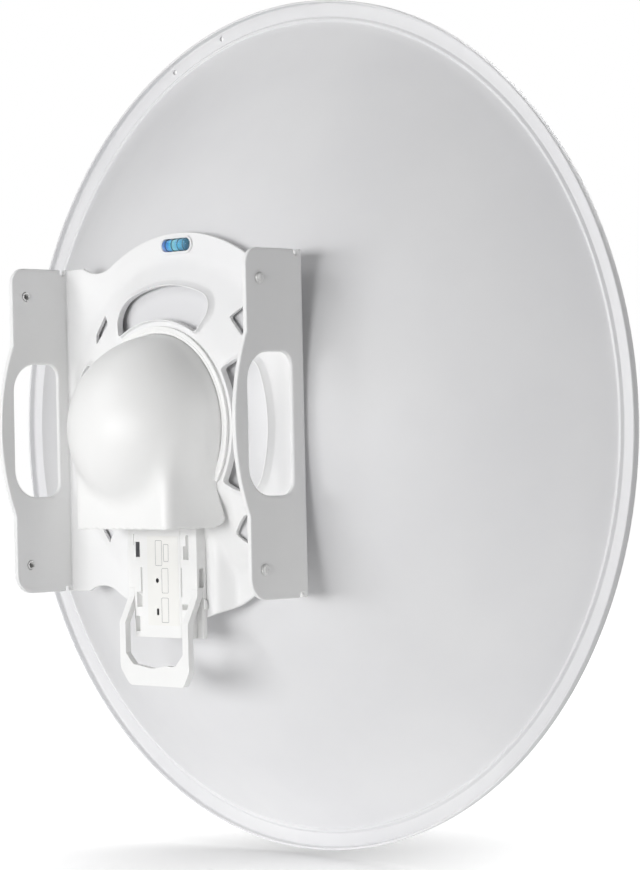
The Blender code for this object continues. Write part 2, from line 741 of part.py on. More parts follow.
def feed_flange(mat):
    """The round foot that clamps the feed to the bowl's centre."""
    seat = bowl_rear(HUB_HOLE_R) + SKIN + GAP + 1.0 * MM
    rim = bowl_rear(FLANGE_R) + SKIN + GAP
    top = rim + FLANGE_THICK
    inner = FEED_R + GAP
    profile = [(inner, seat), (HUB_HOLE_R + 2.0 * MM, seat), (FLANGE_R, rim)]
    profile += [(FLANGE_R, top - 2.0 * MM), (FLANGE_R - 2.0 * MM, top), (FEED_R + 6.0 * MM, top)]
    profile += [(FEED_R + 3.0 * MM, top + FLANGE_BOSS), (inner, top + FLANGE_BOSS)]
    bm = bmesh.new()
    add_turned(bm, profile, 48)
    piece("feed_flange", bm, mat, smooth=35.0)


def flange_screw(mat, number):
    """One of the four screws that hold the foot."""
    a = math.radians(90.0 * number - 45.0)
    centre = (FLANGE_BOLT_CIRCLE * math.cos(a), FLANGE_BOLT_CIRCLE * math.sin(a))
    seat = bowl_rear(FLANGE_R) + SKIN + GAP + FLANGE_THICK + GAP
    bm = bmesh.new()
    add_prism(bm, arc(centre, SCREW_HEAD_R, 0.0, 337.5, 15), "XZ", seat, seat + SCREW_HEAD)
    piece(f"flange_screw_{number}", bm, mat, smooth=35.0)


def feed_tube(mat):
    """The feed's tube, through the bowl and on to its tapered neck."""
    profile = [(0.0, FEED_REAR), (FEED_R - 2.0 * MM, FEED_REAR), (FEED_R, FEED_REAR + 2.0 * MM)]
    profile += [(FEED_R, FEED_SHOULDER), (FEED_NECK_R, FEED_NECK), (0.0, FEED_NECK)]
    bm = bmesh.new()
    add_turned(bm, profile, 40, closed=False)
    piece("feed_tube", bm, mat, smooth=35.0)


def feed_band(mat):
    """The raised band round the tube."""
    inner = FEED_R + GAP
    profile = [(inner, BAND_LOW), (BAND_R, BAND_LOW), (BAND_R, BAND_HIGH), (inner, BAND_HIGH)]
    bm = bmesh.new()
    add_turned(bm, profile, 40)
    piece("feed_band", bm, mat, smooth=35.0)


def feed_head(mat):
    """The wide head that the cap closes."""
    start = FEED_NECK + GAP
    profile = [(0.0, start), (FEED_NECK_R, start), (FEED_NECK_R + 3.0 * MM, start + 8.0 * MM)]
    profile += [(HEAD_R - 4.0 * MM, HEAD_FRONT - 10.0 * MM), (HEAD_R, HEAD_FRONT - 6.0 * MM)]
    profile += [(HEAD_R, HEAD_FRONT), (0.0, HEAD_FRONT)]
    bm = bmesh.new()
    add_turned(bm, profile, 40, closed=False)
    piece("feed_head", bm, mat, smooth=35.0)


def feed_seal(mat):
    """The dark ring of the seal between head and cap."""
    low = HEAD_FRONT + GAP
    profile = [(0.0, low), (SEAL_R, low), (SEAL_R, low + SEAL_THICK), (0.0, low + SEAL_THICK)]
    bm = bmesh.new()
    add_turned(bm, profile, 40, closed=False)
    piece("feed_seal", bm, mat, smooth=35.0)


def feed_cap(mat):
    """The low dome that closes the feed's head."""
    base = HEAD_FRONT + SEAL_THICK + 2.0 * GAP
    skirt = base + CAP_SKIRT
    profile = [(0.0, base), (HEAD_R, base)]
    for i in range(6):
        a = math.radians(15.0 * i)
        profile.append((HEAD_R * math.cos(a), skirt + (CAP_FRONT - skirt) * math.sin(a)))
    profile.append((0.0, CAP_FRONT))
    bm = bmesh.new()
    add_turned(bm, profile, 40, closed=False)
    piece("feed_cap", bm, mat, smooth=35.0)


def build():
    clear_scene()
    axis = bpy.data.objects.new("dish_axis", None)
    bpy.context.scene.collection.objects.link(axis)
    axis.location = (-EAR_FACE_X, -MOUNT_Y, 0.0)

    mats = {
        "reflector": material("reflector_white", (0.80, 0.80, 0.81), 0.42),
        "bracket": material("bracket_white", (0.84, 0.84, 0.85), 0.38),
        "plastic": material("housing_white", (0.86, 0.86, 0.86), 0.45),
        "steel": material("bright_steel", (0.62, 0.62, 0.60), 0.28, 1.0),
        "level": material("level_blue", (0.05, 0.42, 0.85), 0.12),
        "rubber": material("seal_grey", (0.30, 0.30, 0.31), 0.70),
    }
    dish_reflector(mats["reflector"])
    rear_bracket(mats["bracket"])
    hub_spacer(mats["bracket"])
    housing_collar(mats["plastic"])
    rear_housing(mats["plastic"])
    housing_tab(mats["plastic"])
    port_block(mats["plastic"])
    port_cover(mats["plastic"])
    pull_handle(mats["plastic"])
    for side, side_name in ((-1, "left"), (1, "right")):
        block_latch(mats["plastic"], side, f"block_latch_{side_name}")
        for end, end_name in ((1, "top"), (-1, "bottom")):
            ear_insert(mats["steel"], side, end, f"ear_insert_{side_name}_{end_name}")
    level_vial(mats["level"])
    level_bezel(mats["bracket"])
    for feed_piece in (feed_flange, feed_tube, feed_band, feed_head, feed_cap):
        feed_piece(mats["plastic"])
    feed_seal(mats["rubber"])
    for number in (1, 2, 3, 4):
        flange_screw(mats["steel"], number)


build()
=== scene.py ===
import math

import bmesh
import bpy
import numpy as np
from mathutils import Matrix, Vector


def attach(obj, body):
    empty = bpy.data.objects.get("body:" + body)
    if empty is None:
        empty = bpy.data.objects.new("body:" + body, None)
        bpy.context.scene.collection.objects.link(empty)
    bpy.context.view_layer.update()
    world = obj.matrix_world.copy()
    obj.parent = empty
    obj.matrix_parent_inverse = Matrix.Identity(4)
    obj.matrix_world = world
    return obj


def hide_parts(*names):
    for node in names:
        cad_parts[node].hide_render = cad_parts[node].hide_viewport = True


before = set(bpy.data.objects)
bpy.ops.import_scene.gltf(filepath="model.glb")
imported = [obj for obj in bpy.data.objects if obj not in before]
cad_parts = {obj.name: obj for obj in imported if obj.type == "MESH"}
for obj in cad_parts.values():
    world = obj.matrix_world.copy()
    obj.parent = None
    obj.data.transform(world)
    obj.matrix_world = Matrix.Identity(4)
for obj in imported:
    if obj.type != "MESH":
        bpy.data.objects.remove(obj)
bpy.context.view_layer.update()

MM = 0.001
GAP = 0.3 * MM

# The pieces are drawn round the dish axis, then moved to the antenna's place in the frame
DISH_AXIS = Vector((-128.7 * MM, 190.5 * MM, 0.0))

# Reflector
RIM_R = 325.0 * MM
LIP_DEPTH = 5.2 * MM
BOWL_R = 309.5 * MM
SKIN = 1.8 * MM
HUB_HOLE_R = 37.0 * MM
RIM_STEPS = 272
RIM_HOLE_R = 1.8 * MM
RIM_HOLE_FLARE = 0.35 * MM
RIM_HOLE_CIRCLE = 318.6 * MM
# The two holes sit in the middle of these facets of the flange
RIM_HOLE_FACETS = (79.5, 87.5)

# Bracket sheet
SHEET = 3.0 * MM
EAR_SHEET = 4.0 * MM
PLATE_REAR = -130.0 * MM
PLATE_DISC_R = 143.5 * MM
PLATE_HALF_Z = 123.0 * MM
EAR_FACE_X = 128.7 * MM
BEND_R = 4.6 * MM
SCALLOP_R = 31.0 * MM
SCALLOP_X = 90.0 * MM
PRESSED_R = 124.0 * MM
HUB_SEAT_R = 76.0 * MM
HUB_SEAT = -150.8 * MM
HUB_OPENING_R = 56.0 * MM
CHANNEL_TOP = -141.5 * MM
CHANNEL_HALF = 46.0 * MM
CHANNEL_FOOT = 59.0 * MM
# Beside the port block the pressed centre falls to the channel, within these limits
FALL_TOP = -42.0 * MM
FALL_LOW = -62.0 * MM
FALL_IN = 60.0 * MM
FALL_OUT = 74.0 * MM
WINDOW_IN_R = 79.0 * MM
WINDOW_OUT_R = 104.0 * MM
WINDOW_HALF_ANGLE = 31.0
# Raised lip round each window, and how far its foot runs out at the hub and elsewhere
LIP_RISE = 2.6 * MM
LIP_THICK = 1.0 * MM
LIP_ROUND = 0.4 * MM
LIP_FOOT = 3.4 * MM
LIP_FOOT_IN = 0.9 * MM
LIP_FOOT_GROWTH = 10.0 * MM
EAR_EDGE = -184.5 * MM
EAR_BULGE = 12.7 * MM
EAR_BULGE_HALF = 64.0 * MM
EAR_TOP_CORNER = 12.0 * MM
EAR_LOW_CORNER = 15.0 * MM
GRIP_OUT = -184.0 * MM
GRIP_IN = -141.0 * MM
GRIP_HALF_Z = 50.3 * MM
BOLT_Y = -171.2 * MM
BOLT_Z = 101.7 * MM
BOLT_HOLE_R = 3.6 * MM
RELIEF_R = 2.3 * MM
RELIEF_DEPTH = 4.2 * MM
RELIEF_MOUTH = 1.3 * MM
RELIEF_Y = -134.5 * MM
HOOK_SLOT = ((66.0, 78.0), (75.5, 86.0), (83.5, 71.5), (79.0, 63.5))
PORT_CUT_HALF = 34.5 * MM
PORT_CUT_LOW = -107.0 * MM
CREASE = 2.6 * MM
FOLD_START = EAR_FACE_X - BEND_R
FOLD_LENGTH = 4.1 * MM
FOLD_END = FOLD_START + FOLD_LENGTH
FOLD_CENTRE_Y = PLATE_REAR + SHEET - BEND_R
BLANK_CELL = 2.0 * MM
# Every second point of an outline stands this far off it, so that no run is dead straight
OFF_LINE = 0.004 * MM

# Rear housing and its collar
DOME_R = 68.2 * MM
DOME_CENTRE = -147.4 * MM
DOME_DEPTH = 71.7 * MM
HOUSING_WALL = 2.6 * MM
HOUSING_BASE = HUB_SEAT - GAP
HOOD_REAR = -191.5 * MM
HOOD_REAR_HALF = 49.6 * MM
HOOD_BASE_HALF = 60.0 * MM
HOOD_LOW = -73.5 * MM
HOOD_ROUND = 6.0 * MM
HOOD_TOP = -4.0 * MM
HOOD_BLEND = 7.0 * MM
# Where the hood's side edges run down to the sheet, as (y, z), ending in a rounded corner
HOOD_EDGE = ((-151.1, -46.0), (-143.9, -70.0))
HOOD_CORNER = ((-143.9, -65.5), (-146.6, -70.5), (-153.9, -73.5))
COLLAR_IN_R = 68.6 * MM
COLLAR_OUT_R = 73.9 * MM
COLLAR_HEIGHT = 2.3 * MM
COLLAR_SEAM_R = 70.8 * MM
COLLAR_SEAM = 0.35 * MM
COLLAR_END = 33.0

# Port block, panel and handle
BLOCK_HALF = 37.0 * MM
BLOCK_REAR = -151.0 * MM
BLOCK_FRONT = CHANNEL_TOP - GAP
BLOCK_TOP = -62.0 * MM
BLOCK_LOW = -154.0 * MM
TONGUE_LOW = -74.2 * MM
TONGUE_FRONT = -147.0 * MM
SHOULDER_Z = -118.0 * MM
ARM_WIDTH = 6.0 * MM
ARM_DEPTH = 5.0 * MM
# Pockets in the block's rear face: two corners (x, z) and depth in mm, dark inside or not
BLOCK_POCKETS = (
    ((-28.7, -95.2), (-24.3, -84.1), 5.5, 1),
    ((-31.2, -86.4), (-28.9, -78.2), 0.9, 0),
    ((22.8, -96.8), (25.3, -87.0), 4.0, 0),
    ((25.5, -96.8), (28.6, -79.0), 3.0, 0),
    ((-23.6, -120.6), (-21.9, -102.8), 2.2, 0),
    ((20.1, -124.2), (21.0, -102.7), 2.4, 0),
    ((20.9, -133.4), (27.2, -129.2), 5.5, 0),
    ((-29.9, -150.0), (-25.2, -138.8), 4.5, 0),
    ((-31.9, -140.3), (-30.2, -133.6), 0.9, 0),
    ((-8.0, -114.6), (-2.4, -110.0), 4.0, 1),
    ((-6.8, -138.6), (-3.0, -131.8), 4.0, 1),
)
# A notch that deepens downwards below the left slit: corners as above, and its depth
TAPERED_NOTCH = ((-28.2, -132.0), (-22.0, -120.8), 5.0)
SIDE_POCKET = ((-148.9, -117.0), (-143.9, -103.2))
PANEL_PROUD = 0.25 * MM
PEEPHOLE = (-5.2, -112.3)
PEEPHOLE_R = 1.7 * MM
KEYHOLE = ((-6.3, -137.6), (-3.9, -132.8))
PORT_OUTLINES = (
    ((-6.9, -101.5), (0.3, -82.8)),
    ((1.9, -98.5), (7.3, -85.6)),
    ((-0.4, -121.5), (6.7, -103.2)),
    ((-1.0, -143.1), (6.6, -124.8)),
)
HANDLE_REAR = -160.9 * MM
HANDLE_SEAM = 0.06 * MM
HANDLE_LOW = -189.0 * MM
HANDLE_BAR = 16.5 * MM
HANDLE_TILT = 3.0 * MM
RAMP_TOP = -123.5 * MM
RAMP_LOW = -143.0 * MM

# Feed on the dish's axis
FEED_R = 33.0 * MM
FEED_REAR = -182.0 * MM
FEED_SHOULDER = -78.0 * MM
FEED_NECK = -24.0 * MM
FEED_NECK_R = 27.5 * MM
BAND_LOW = -86.0 * MM
BAND_HIGH = -80.0 * MM
BAND_R = 35.2 * MM
HEAD_R = 47.0 * MM
HEAD_FRONT = 9.0 * MM
SEAL_R = 45.8 * MM
SEAL_THICK = 2.0 * MM
CAP_SKIRT = 4.0 * MM
CAP_FRONT = 27.0 * MM
FLANGE_R = 54.0 * MM
FLANGE_THICK = 5.0 * MM
FLANGE_BOSS = 7.0 * MM
FLANGE_BOLT_CIRCLE = 46.0 * MM
SCREW_HEAD_R = 3.4 * MM
SCREW_HEAD = 2.6 * MM

# Bubble level
LEVEL_Z = 134.3 * MM
VIAL_R = 4.5 * MM
VIAL_LENGTH = 30.4 * MM
VIAL_Y = -129.2 * MM

BOWL_DEPTH = -(PLATE_REAR + SHEET + GAP) / (1.0 - (PRESSED_R / BOWL_R) ** 2)

# The photograph's view
CAMERA_PLACE = Vector((1.4360, -1.3835, -0.0203))
CAMERA_TARGET = Vector((-0.1124, 0.1905, -0.0076))
CAMERA_ROLL = -1.21
CAMERA_LENS = 119.34
FLOOR_Z = -329.0 * MM
# The floor is seen white with a painted shade under the rim (lower camera-seen emission there),
# and glows to light the dish from below
FLOOR_WHITE = 1.0
FLOOR_PAINTED_SHADE = 0.12
PAINTED_SHADE_REACH = 0.3
FLOOR_BOUNCE = 0.46
BOUNCE_REACH = 0.8


def rounded(corners, steps=6):
    """An outline from (x, y, radius) corners, each rounded by an arc."""
    points = []
    for i, (x, y, radius) in enumerate(corners):
        here = Vector((x, y))
        if radius == 0.0:
            points.append((x, y))
            continue
        before = (Vector(corners[i - 1][:2]) - here).normalized()
        after = (Vector(corners[(i + 1) % len(corners)][:2]) - here).normalized()
        half = before.angle(after) / 2.0
        centre = here + (before + after).normalized() * radius / math.sin(half)
        first = here + before * radius / math.tan(half) - centre
        last = here + after * radius / math.tan(half) - centre
        turn = first.angle_signed(last)
        for k in range(steps + 1):
            spoke = Matrix.Rotation(-turn * k / steps, 2) @ first
            points.append(tuple(centre + spoke))
    return points


def arc(centre, radius, start, end, steps):
    """Points of an arc, by angles in degrees."""
    points = []
    for i in range(steps + 1):
        a = math.radians(start + (end - start) * i / steps)
        points.append((centre[0] + radius * math.cos(a), centre[1] + radius * math.sin(a)))
    return points


def spin_profile(bm, profile, steps, closed=True):
    """Turns a (radius, y) profile all round the dish axis."""
    verts = [bm.verts.new((r, y, 0.0)) for r, y in profile]
    pairs = list(zip(verts, verts[1:]))
    if closed:
        pairs.append((verts[-1], verts[0]))
    edges = [bm.edges.new(pair) for pair in pairs]
    bmesh.ops.spin(
        bm,
        geom=verts + edges,
        cent=(0.0, 0.0, 0.0),
        axis=(0.0, 1.0, 0.0),
        angle=2.0 * math.pi,
        steps=steps,
        use_merge=True,
    )
    bmesh.ops.remove_doubles(bm, verts=bm.verts, dist=1e-6)
    bmesh.ops.recalc_face_normals(bm, faces=bm.faces)


def finish_piece(name, bm, finish, stands_for=(), smooth=32.0):
    """Puts a shape in its place in the frame, as a piece of the antenna."""
    bmesh.ops.translate(bm, verts=bm.verts, vec=DISH_AXIS)
    mesh = bpy.data.meshes.new(name)
    bm.to_mesh(mesh)
    bm.free()
    mesh.shade_smooth()
    mesh.set_sharp_from_angle(angle=math.radians(smooth))
    mesh.materials.append(finish)
    piece = bpy.data.objects.new(name, mesh)
    bpy.context.scene.collection.objects.link(piece)
    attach(piece, "root")
    if stands_for:
        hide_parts(*stands_for)
    return piece


def bowl_rear(r):
    """Y of the bowl's rear face at a radius."""
    return -BOWL_DEPTH * (1.0 - (r / BOWL_R) ** 2)


def reflector_dish(finish):
    """The spun dish: bowl, bead at its edge, flat flange and the lip turned to the rear."""
    bead = BOWL_R + 1.6 * MM
    lip_in = RIM_R - SKIN
    rear = []
    for i in range(71):
        r = HUB_HOLE_R + (BOWL_R - 2.6 * MM - HUB_HOLE_R) * i / 70.0
        rear.append((r, bowl_rear(r), 0.0))
    rear += [
        (BOWL_R - 0.4 * MM, bowl_rear(BOWL_R - 2.6 * MM) + 1.5 * MM, 0.8 * MM),
        (bead - 0.4 * MM, -2.6 * MM, 1.1 * MM),
        (bead + 1.6 * MM, 0.0, 0.8 * MM),
        (lip_in, 0.0, 1.6 * MM),
        (lip_in, -LIP_DEPTH, 0.8 * MM),
        (RIM_R, -LIP_DEPTH, 0.9 * MM),
        (RIM_R, SKIN, 1.6 * MM),
    ]
    front = []
    for i in range(41):
        r = BOWL_R - 0.5 * MM + (HUB_HOLE_R - BOWL_R + 0.5 * MM) * i / 40.0
        front.append((r, bowl_rear(r) + SKIN, 0.0))
    bm = bmesh.new()
    spin_profile(bm, rounded(rear + front, 4), RIM_STEPS)
    for facet in RIM_HOLE_FACETS:
        drill_flange(bm, facet * math.tau / RIM_STEPS)
    return finish_piece("spun_reflector", bm, finish, ["dish_reflector"])


def drill_flange(bm, turn):
    """Cuts a small flared hole through the flange, in the middle of one of its facets."""
    centre = Vector((math.cos(turn), 0.0, math.sin(turn))) * RIM_HOLE_CIRCLE
    upright = Matrix.Rotation(math.radians(90.0), 3, "X")
    mouths = []
    for y, facing, flare in ((0.0, -1.0, RIM_HOLE_FLARE), (SKIN, 1.0, 0.0)):
        place = centre + Vector((0.0, y, 0.0))
        bm.normal_update()
        flange = [f for f in bm.faces if abs(f.normal.y) > 0.99]
        facet = min(flange, key=lambda f: (f.calc_center_median() - place).length)
        edges = list(facet.edges)
        bmesh.ops.delete(bm, geom=[facet], context="FACES_ONLY")
        radius = RIM_HOLE_R + flare
        ring = bmesh.ops.create_circle(bm, segments=20, radius=radius)["verts"]
        bmesh.ops.rotate(bm, verts=ring, cent=(0.0, 0.0, 0.0), matrix=upright)
        bmesh.ops.translate(bm, verts=ring, vec=place)
        mouth = list({edge for vert in ring for edge in vert.link_edges})
        bmesh.ops.triangle_fill(
            bm, use_beauty=True, edges=edges + mouth, normal=(0.0, facing, 0.0)
        )
        mouths += mouth
    bmesh.ops.bridge_loops(bm, edges=mouths)
    bmesh.ops.recalc_face_normals(bm, faces=bm.faces)


def soft_min(a, b, blend):
    """The lower of two heights, with a soft crease where they cross."""
    h = np.clip(0.5 + 0.5 * (b - a) / blend, 0.0, 1.0)
    return b + (a - b) * h - blend * h * (1.0 - h)


def pressed_height(x, z):
    """Y of the sheet's rear face: flat plate, pressed centre and the channel below it."""
    r = np.hypot(x, z)
    t = np.clip((r - HUB_SEAT_R) / (PRESSED_R - HUB_SEAT_R), 0.0, 1.4)
    centre = HUB_SEAT + (PLATE_REAR - HUB_SEAT) * t**1.25
    side = (np.abs(x) - CHANNEL_HALF) / (CHANNEL_FOOT - CHANNEL_HALF)
    channel = CHANNEL_TOP + (PLATE_REAR - CHANNEL_TOP) * np.clip(side, -3.0, 1.4)
    channel = -soft_min(-channel, np.full_like(channel, -CHANNEL_TOP), CREASE)
    channel = np.where(z < 0.0, channel, PLATE_REAR + 20.0 * MM)
    plate = np.full_like(r, PLATE_REAR)
    raised = soft_min(soft_min(centre, plate, CREASE), channel, CREASE)
    over_bowl = -BOWL_DEPTH * (1.0 - (r / BOWL_R) ** 2) - SHEET - GAP
    fallen = soft_min(soft_min(channel, over_bowl, CREASE), plate, CREASE)
    down = np.clip((FALL_TOP - z) / (FALL_TOP - FALL_LOW), 0.0, 1.0)
    beside = np.clip((FALL_OUT - np.abs(x)) / (FALL_OUT - FALL_IN), 0.0, 1.0)
    share = down**2 * (3.0 - 2.0 * down) * beside**2 * (3.0 - 2.0 * beside)
    return raised + (fallen - raised) * share


def sheet_thickness(s):
    """The sheet is thicker in the ears than in the plate."""
    bend = np.clip((np.abs(s) - FOLD_START) / FOLD_LENGTH, 0.0, 1.0)
    return SHEET + (EAR_SHEET - SHEET) * bend


def fold_blank(s, z, depth):
    """Takes a point of the flat blank, at a depth below its rear face, to the folded sheet."""
    side = np.sign(s)
    a = np.abs(s)
    bend = np.clip((a - FOLD_START) / FOLD_LENGTH, 0.0, 1.0)
    radius = BEND_R - (sheet_thickness(s) - depth)
    angle = bend * math.pi / 2.0
    x = np.minimum(a, FOLD_START) + radius * np.sin(angle)
    bent = FOLD_CENTRE_Y + radius * np.cos(angle) - np.maximum(a - FOLD_END, 0.0)
    y = np.where(a <= FOLD_START, pressed_height(s, z) + depth, bent)
    return side * x, y, z


def flat_ear(y):
    """Distance along the blank of a point of the ear, from its y."""
    return FOLD_END + FOLD_CENTRE_Y - y


def blank_outline():
    """The blank's outer edge as (s, z) points: disc, scallops, ears with notch and bulge."""
    scallop_z = math.sqrt((PLATE_DISC_R + SCALLOP_R) ** 2 - SCALLOP_X**2)
    touch = math.degrees(math.atan2(scallop_z, SCALLOP_X))
    leave = math.degrees(math.asin((scallop_z - PLATE_HALF_Z) / SCALLOP_R))
    quarter = arc((0.0, 0.0), PLATE_DISC_R, 90.0, touch, 40)
    quarter += arc((SCALLOP_X, scallop_z), SCALLOP_R, touch - 180.0, -leave, 16)[1:]
    notch = flat_ear(RELIEF_Y)
    top = PLATE_HALF_Z
    ear = [
        (notch - RELIEF_R, top, RELIEF_MOUTH),
        (notch - RELIEF_R, top - RELIEF_DEPTH, RELIEF_R * 0.9),
        (notch + RELIEF_R, top - RELIEF_DEPTH, RELIEF_R * 0.9),
        (notch + RELIEF_R, top, RELIEF_MOUTH),
        (flat_ear(EAR_EDGE), top, EAR_TOP_CORNER),
    ]
    radius = (EAR_BULGE_HALF**2 + EAR_BULGE**2) / (2.0 * EAR_BULGE)
    swing = math.degrees(math.asin(EAR_BULGE_HALF / radius))
    bulge_centre = flat_ear(EAR_EDGE - EAR_BULGE) - radius
    bulge = arc((bulge_centre, 0.0), radius, swing, -swing, 60)
    low = [(s, -z, EAR_LOW_CORNER if r == EAR_TOP_CORNER else r) for s, z, r in reversed(ear)]
    middle = [(s, z, 0.0) for s, z in bulge]
    lead = [(s, z, 0.0) for s, z in quarter]
    right = lead + ear + middle + low + [(s, -z, 0.0) for s, z in reversed(quarter)]
    left = [(-s, z, r) for s, z, r in reversed(right)][1:-1]
    return rounded(right + left, 8)


def window_outline(turn):
    """A kidney window round the hub, turned from straight up."""
    middle = (WINDOW_IN_R + WINDOW_OUT_R) / 2.0
    reach = math.radians(WINDOW_HALF_ANGLE) * middle
    corners = [
        (-reach, WINDOW_IN_R, 2.5 * MM),
        (reach, WINDOW_IN_R, 2.5 * MM),
        (reach, WINDOW_OUT_R, 15.0 * MM),
        (-reach, WINDOW_OUT_R, 15.0 * MM),
    ]
    turned = []
    for s, r in walk_outline(rounded(corners, 8), 1.6 * MM):
        a = s / middle + math.radians(turn)
        turned.append((r * math.sin(a), r * math.cos(a)))
    return turned


def walk_outline(points, step):
    """The same outline with no two points further apart than a step, finer in the folds."""
    walked = []
    for i, (x, y) in enumerate(points):
        x2, y2 = points[(i + 1) % len(points)]
        span = math.hypot(x2 - x, y2 - y)
        crosses = max(abs(x), abs(x2)) > FOLD_START - MM and min(abs(x), abs(x2)) < FOLD_END
        count = max(1, math.ceil(span / (0.5 * MM if crosses else step)))
        for k in range(count):
            walked.append((x + (x2 - x) * k / count, y + (y2 - y) * k / count))
    return walked


def outline_normals(points):
    """Unit vectors out of the sheet at each point of a closed outline walked clockwise."""
    p = np.array(points)
    along = np.roll(p, -1, axis=0) - np.roll(p, 1, axis=0)
    along /= np.linalg.norm(along, axis=1)[:, None]
    return np.stack([-along[:, 1], along[:, 0]], axis=1)


def signed_area(points):
    p = np.array(points)
    q = np.roll(p, -1, axis=0)
    return 0.5 * float(np.sum(p[:, 0] * q[:, 1] - q[:, 0] * p[:, 1]))


def distance_to_outline(cells, points):
    """Distance from each cell's middle to an outline, and whether it lies inside."""
    a = np.array(points)
    b = np.roll(a, -1, axis=0)
    nearest = np.full(len(cells), 1.0)
    inside = np.zeros(len(cells), dtype=bool)
    for (ax, ay), (bx, by) in zip(a, b):
        dx, dy = bx - ax, by - ay
        t = ((cells[:, 0] - ax) * dx + (cells[:, 1] - ay) * dy) / (dx * dx + dy * dy)
        t = np.clip(t, 0.0, 1.0)
        gap = np.hypot(cells[:, 0] - ax - t * dx, cells[:, 1] - ay - t * dy)
        nearest = np.minimum(nearest, gap)
        crosses = (ay > cells[:, 1]) != (by > cells[:, 1])
        with np.errstate(divide="ignore", invalid="ignore"):
            hit = ax + (cells[:, 1] - ay) * dx / dy
        inside ^= crosses & (cells[:, 0] < hit)
    return nearest, inside


def blank_columns(reach):
    """Grid columns of the blank: fine in the folds, coarser in the flat."""
    half = list(np.arange(BLANK_CELL, FOLD_START - 0.6 * BLANK_CELL, BLANK_CELL))
    half += list(np.linspace(FOLD_START, FOLD_END, 7))
    half += list(np.arange(FOLD_END + BLANK_CELL, reach, BLANK_CELL))
    return np.array([-s for s in reversed(half)] + [0.0] + half)


def blank_openings():
    """Every opening of the blank: outline, edge radius and whether it has a raised lip."""
    openings = []
    angle = math.degrees(math.acos(PORT_CUT_HALF / HUB_OPENING_R))
    hub = [(x, z, 0.0) for x, z in arc((0.0, 0.0), HUB_OPENING_R, -angle, 180.0 + angle, 90)]
    hub += [(-PORT_CUT_HALF, PORT_CUT_LOW, 2.0 * MM), (PORT_CUT_HALF, PORT_CUT_LOW, 2.0 * MM)]
    openings.append((rounded(hub, 4), 0.5 * MM, False))
    for turn in (-90.0, 0.0, 90.0):
        openings.append((window_outline(turn), 0.0, True))
    for x_side in (-1, 1):
        for z_side in (-1, 1):
            slot = [(x_side * x * MM, z_side * z * MM, 1.5 * MM) for x, z in HOOK_SLOT]
            openings.append((rounded(slot, 4), 0.35 * MM, False))
    reach = VIAL_LENGTH / 2.0 - VIAL_R
    ends = arc((reach, LEVEL_Z), VIAL_R + GAP, -90.0, 90.0, 14)
    ends += arc((-reach, LEVEL_Z), VIAL_R + GAP, 90.0, 270.0, 14)
    openings.append((ends, 0.3 * MM, False))
    for side in (-1, 1):
        corners = [
            (side * flat_ear(GRIP_IN), -GRIP_HALF_Z, 10.0 * MM),
            (side * flat_ear(GRIP_OUT), -GRIP_HALF_Z, 21.0 * MM),
            (side * flat_ear(GRIP_OUT), GRIP_HALF_Z, 21.0 * MM),
            (side * flat_ear(GRIP_IN), GRIP_HALF_Z, 10.0 * MM),
        ]
        openings.append((rounded(corners, 10), 1.8 * MM, False))
        for end in (-1, 1):
            centre = (side * flat_ear(BOLT_Y), end * BOLT_Z)
            hole = arc(centre, BOLT_HOLE_R, 0.0, 345.0, 23)
            openings.append((hole, 0.3 * MM, False))
    return openings


def lip_foot(s, z):
    """How far a window lip's foot runs out: little at the hub, more away from it."""
    growth = min(max((math.hypot(s, z) - WINDOW_IN_R) / LIP_FOOT_GROWTH, 0.0), 1.0)
    return LIP_FOOT_IN + (LIP_FOOT - LIP_FOOT_IN) * growth


def lay_outline(bm, points, edge_radius, is_opening, lipped=False):
    """Draws an outline in the blank, set back by its rim; gives edges and a rim table."""
    if (signed_area(points) > 0.0) != is_opening:
        points = list(reversed(points))
    verts = []
    table = {}
    for k, ((s, z), (ns, nz)) in enumerate(zip(points, outline_normals(points))):
        foot = lip_foot(s, z) if lipped else edge_radius
        back = foot + LIP_THICK if lipped else foot
        back += (k % 2) * OFF_LINE
        vert = bm.verts.new((s - ns * back, z - nz * back, 0.0))
        verts.append(vert)
        table[vert] = (vert.co.copy(), ns, nz, foot)
    edges = [bm.edges.new((a, b)) for a, b in zip(verts, verts[1:] + verts[:1])]
    return edges, table


def plain_rim(radius):
    """Steps of a plain edge: share of the foot, distance past it, depth, from the front."""
    quarter = [math.radians(18.0 * k) for k in range(1, 6)]
    steps = [(math.sin(a), 0.0, radius * (1.0 - math.cos(a)), False) for a in quarter]
    steps.append((1.0, 0.0, -radius, True))
    for a in reversed(quarter[:-1]):
        steps.append((math.sin(a), 0.0, -radius * (1.0 - math.cos(a)), True))
    steps.append((0.0, 0.0, 0.0, True))
    return steps


def lipped_rim():
    """Steps of a window's edge: hollow foot, rounded lip, then straight to the front."""
    top = LIP_RISE - LIP_ROUND
    steps = []
    for k in range(1, 8):
        out = k / 7.0
        steps.append((out, 0.0, -top * out**1.35, False))
    for a in (math.radians(30.0 * k) for k in range(1, 4)):
        across = LIP_ROUND * (1.0 - math.cos(a))
        steps.append((1.0, across, -top - LIP_ROUND * math.sin(a), False))
    for a in (math.radians(30.0 * k) for k in range(4)):
        across = LIP_THICK - LIP_ROUND * (1.0 - math.sin(a))
        steps.append((1.0, across, -LIP_RISE + LIP_ROUND * (1.0 - math.cos(a)), False))
    steps.append((1.0, LIP_THICK, -LIP_ROUND, True))
    steps.append((1.0, LIP_THICK - LIP_ROUND, 0.0, True))
    steps.append((0.0, 0.0, 0.0, True))
    return steps


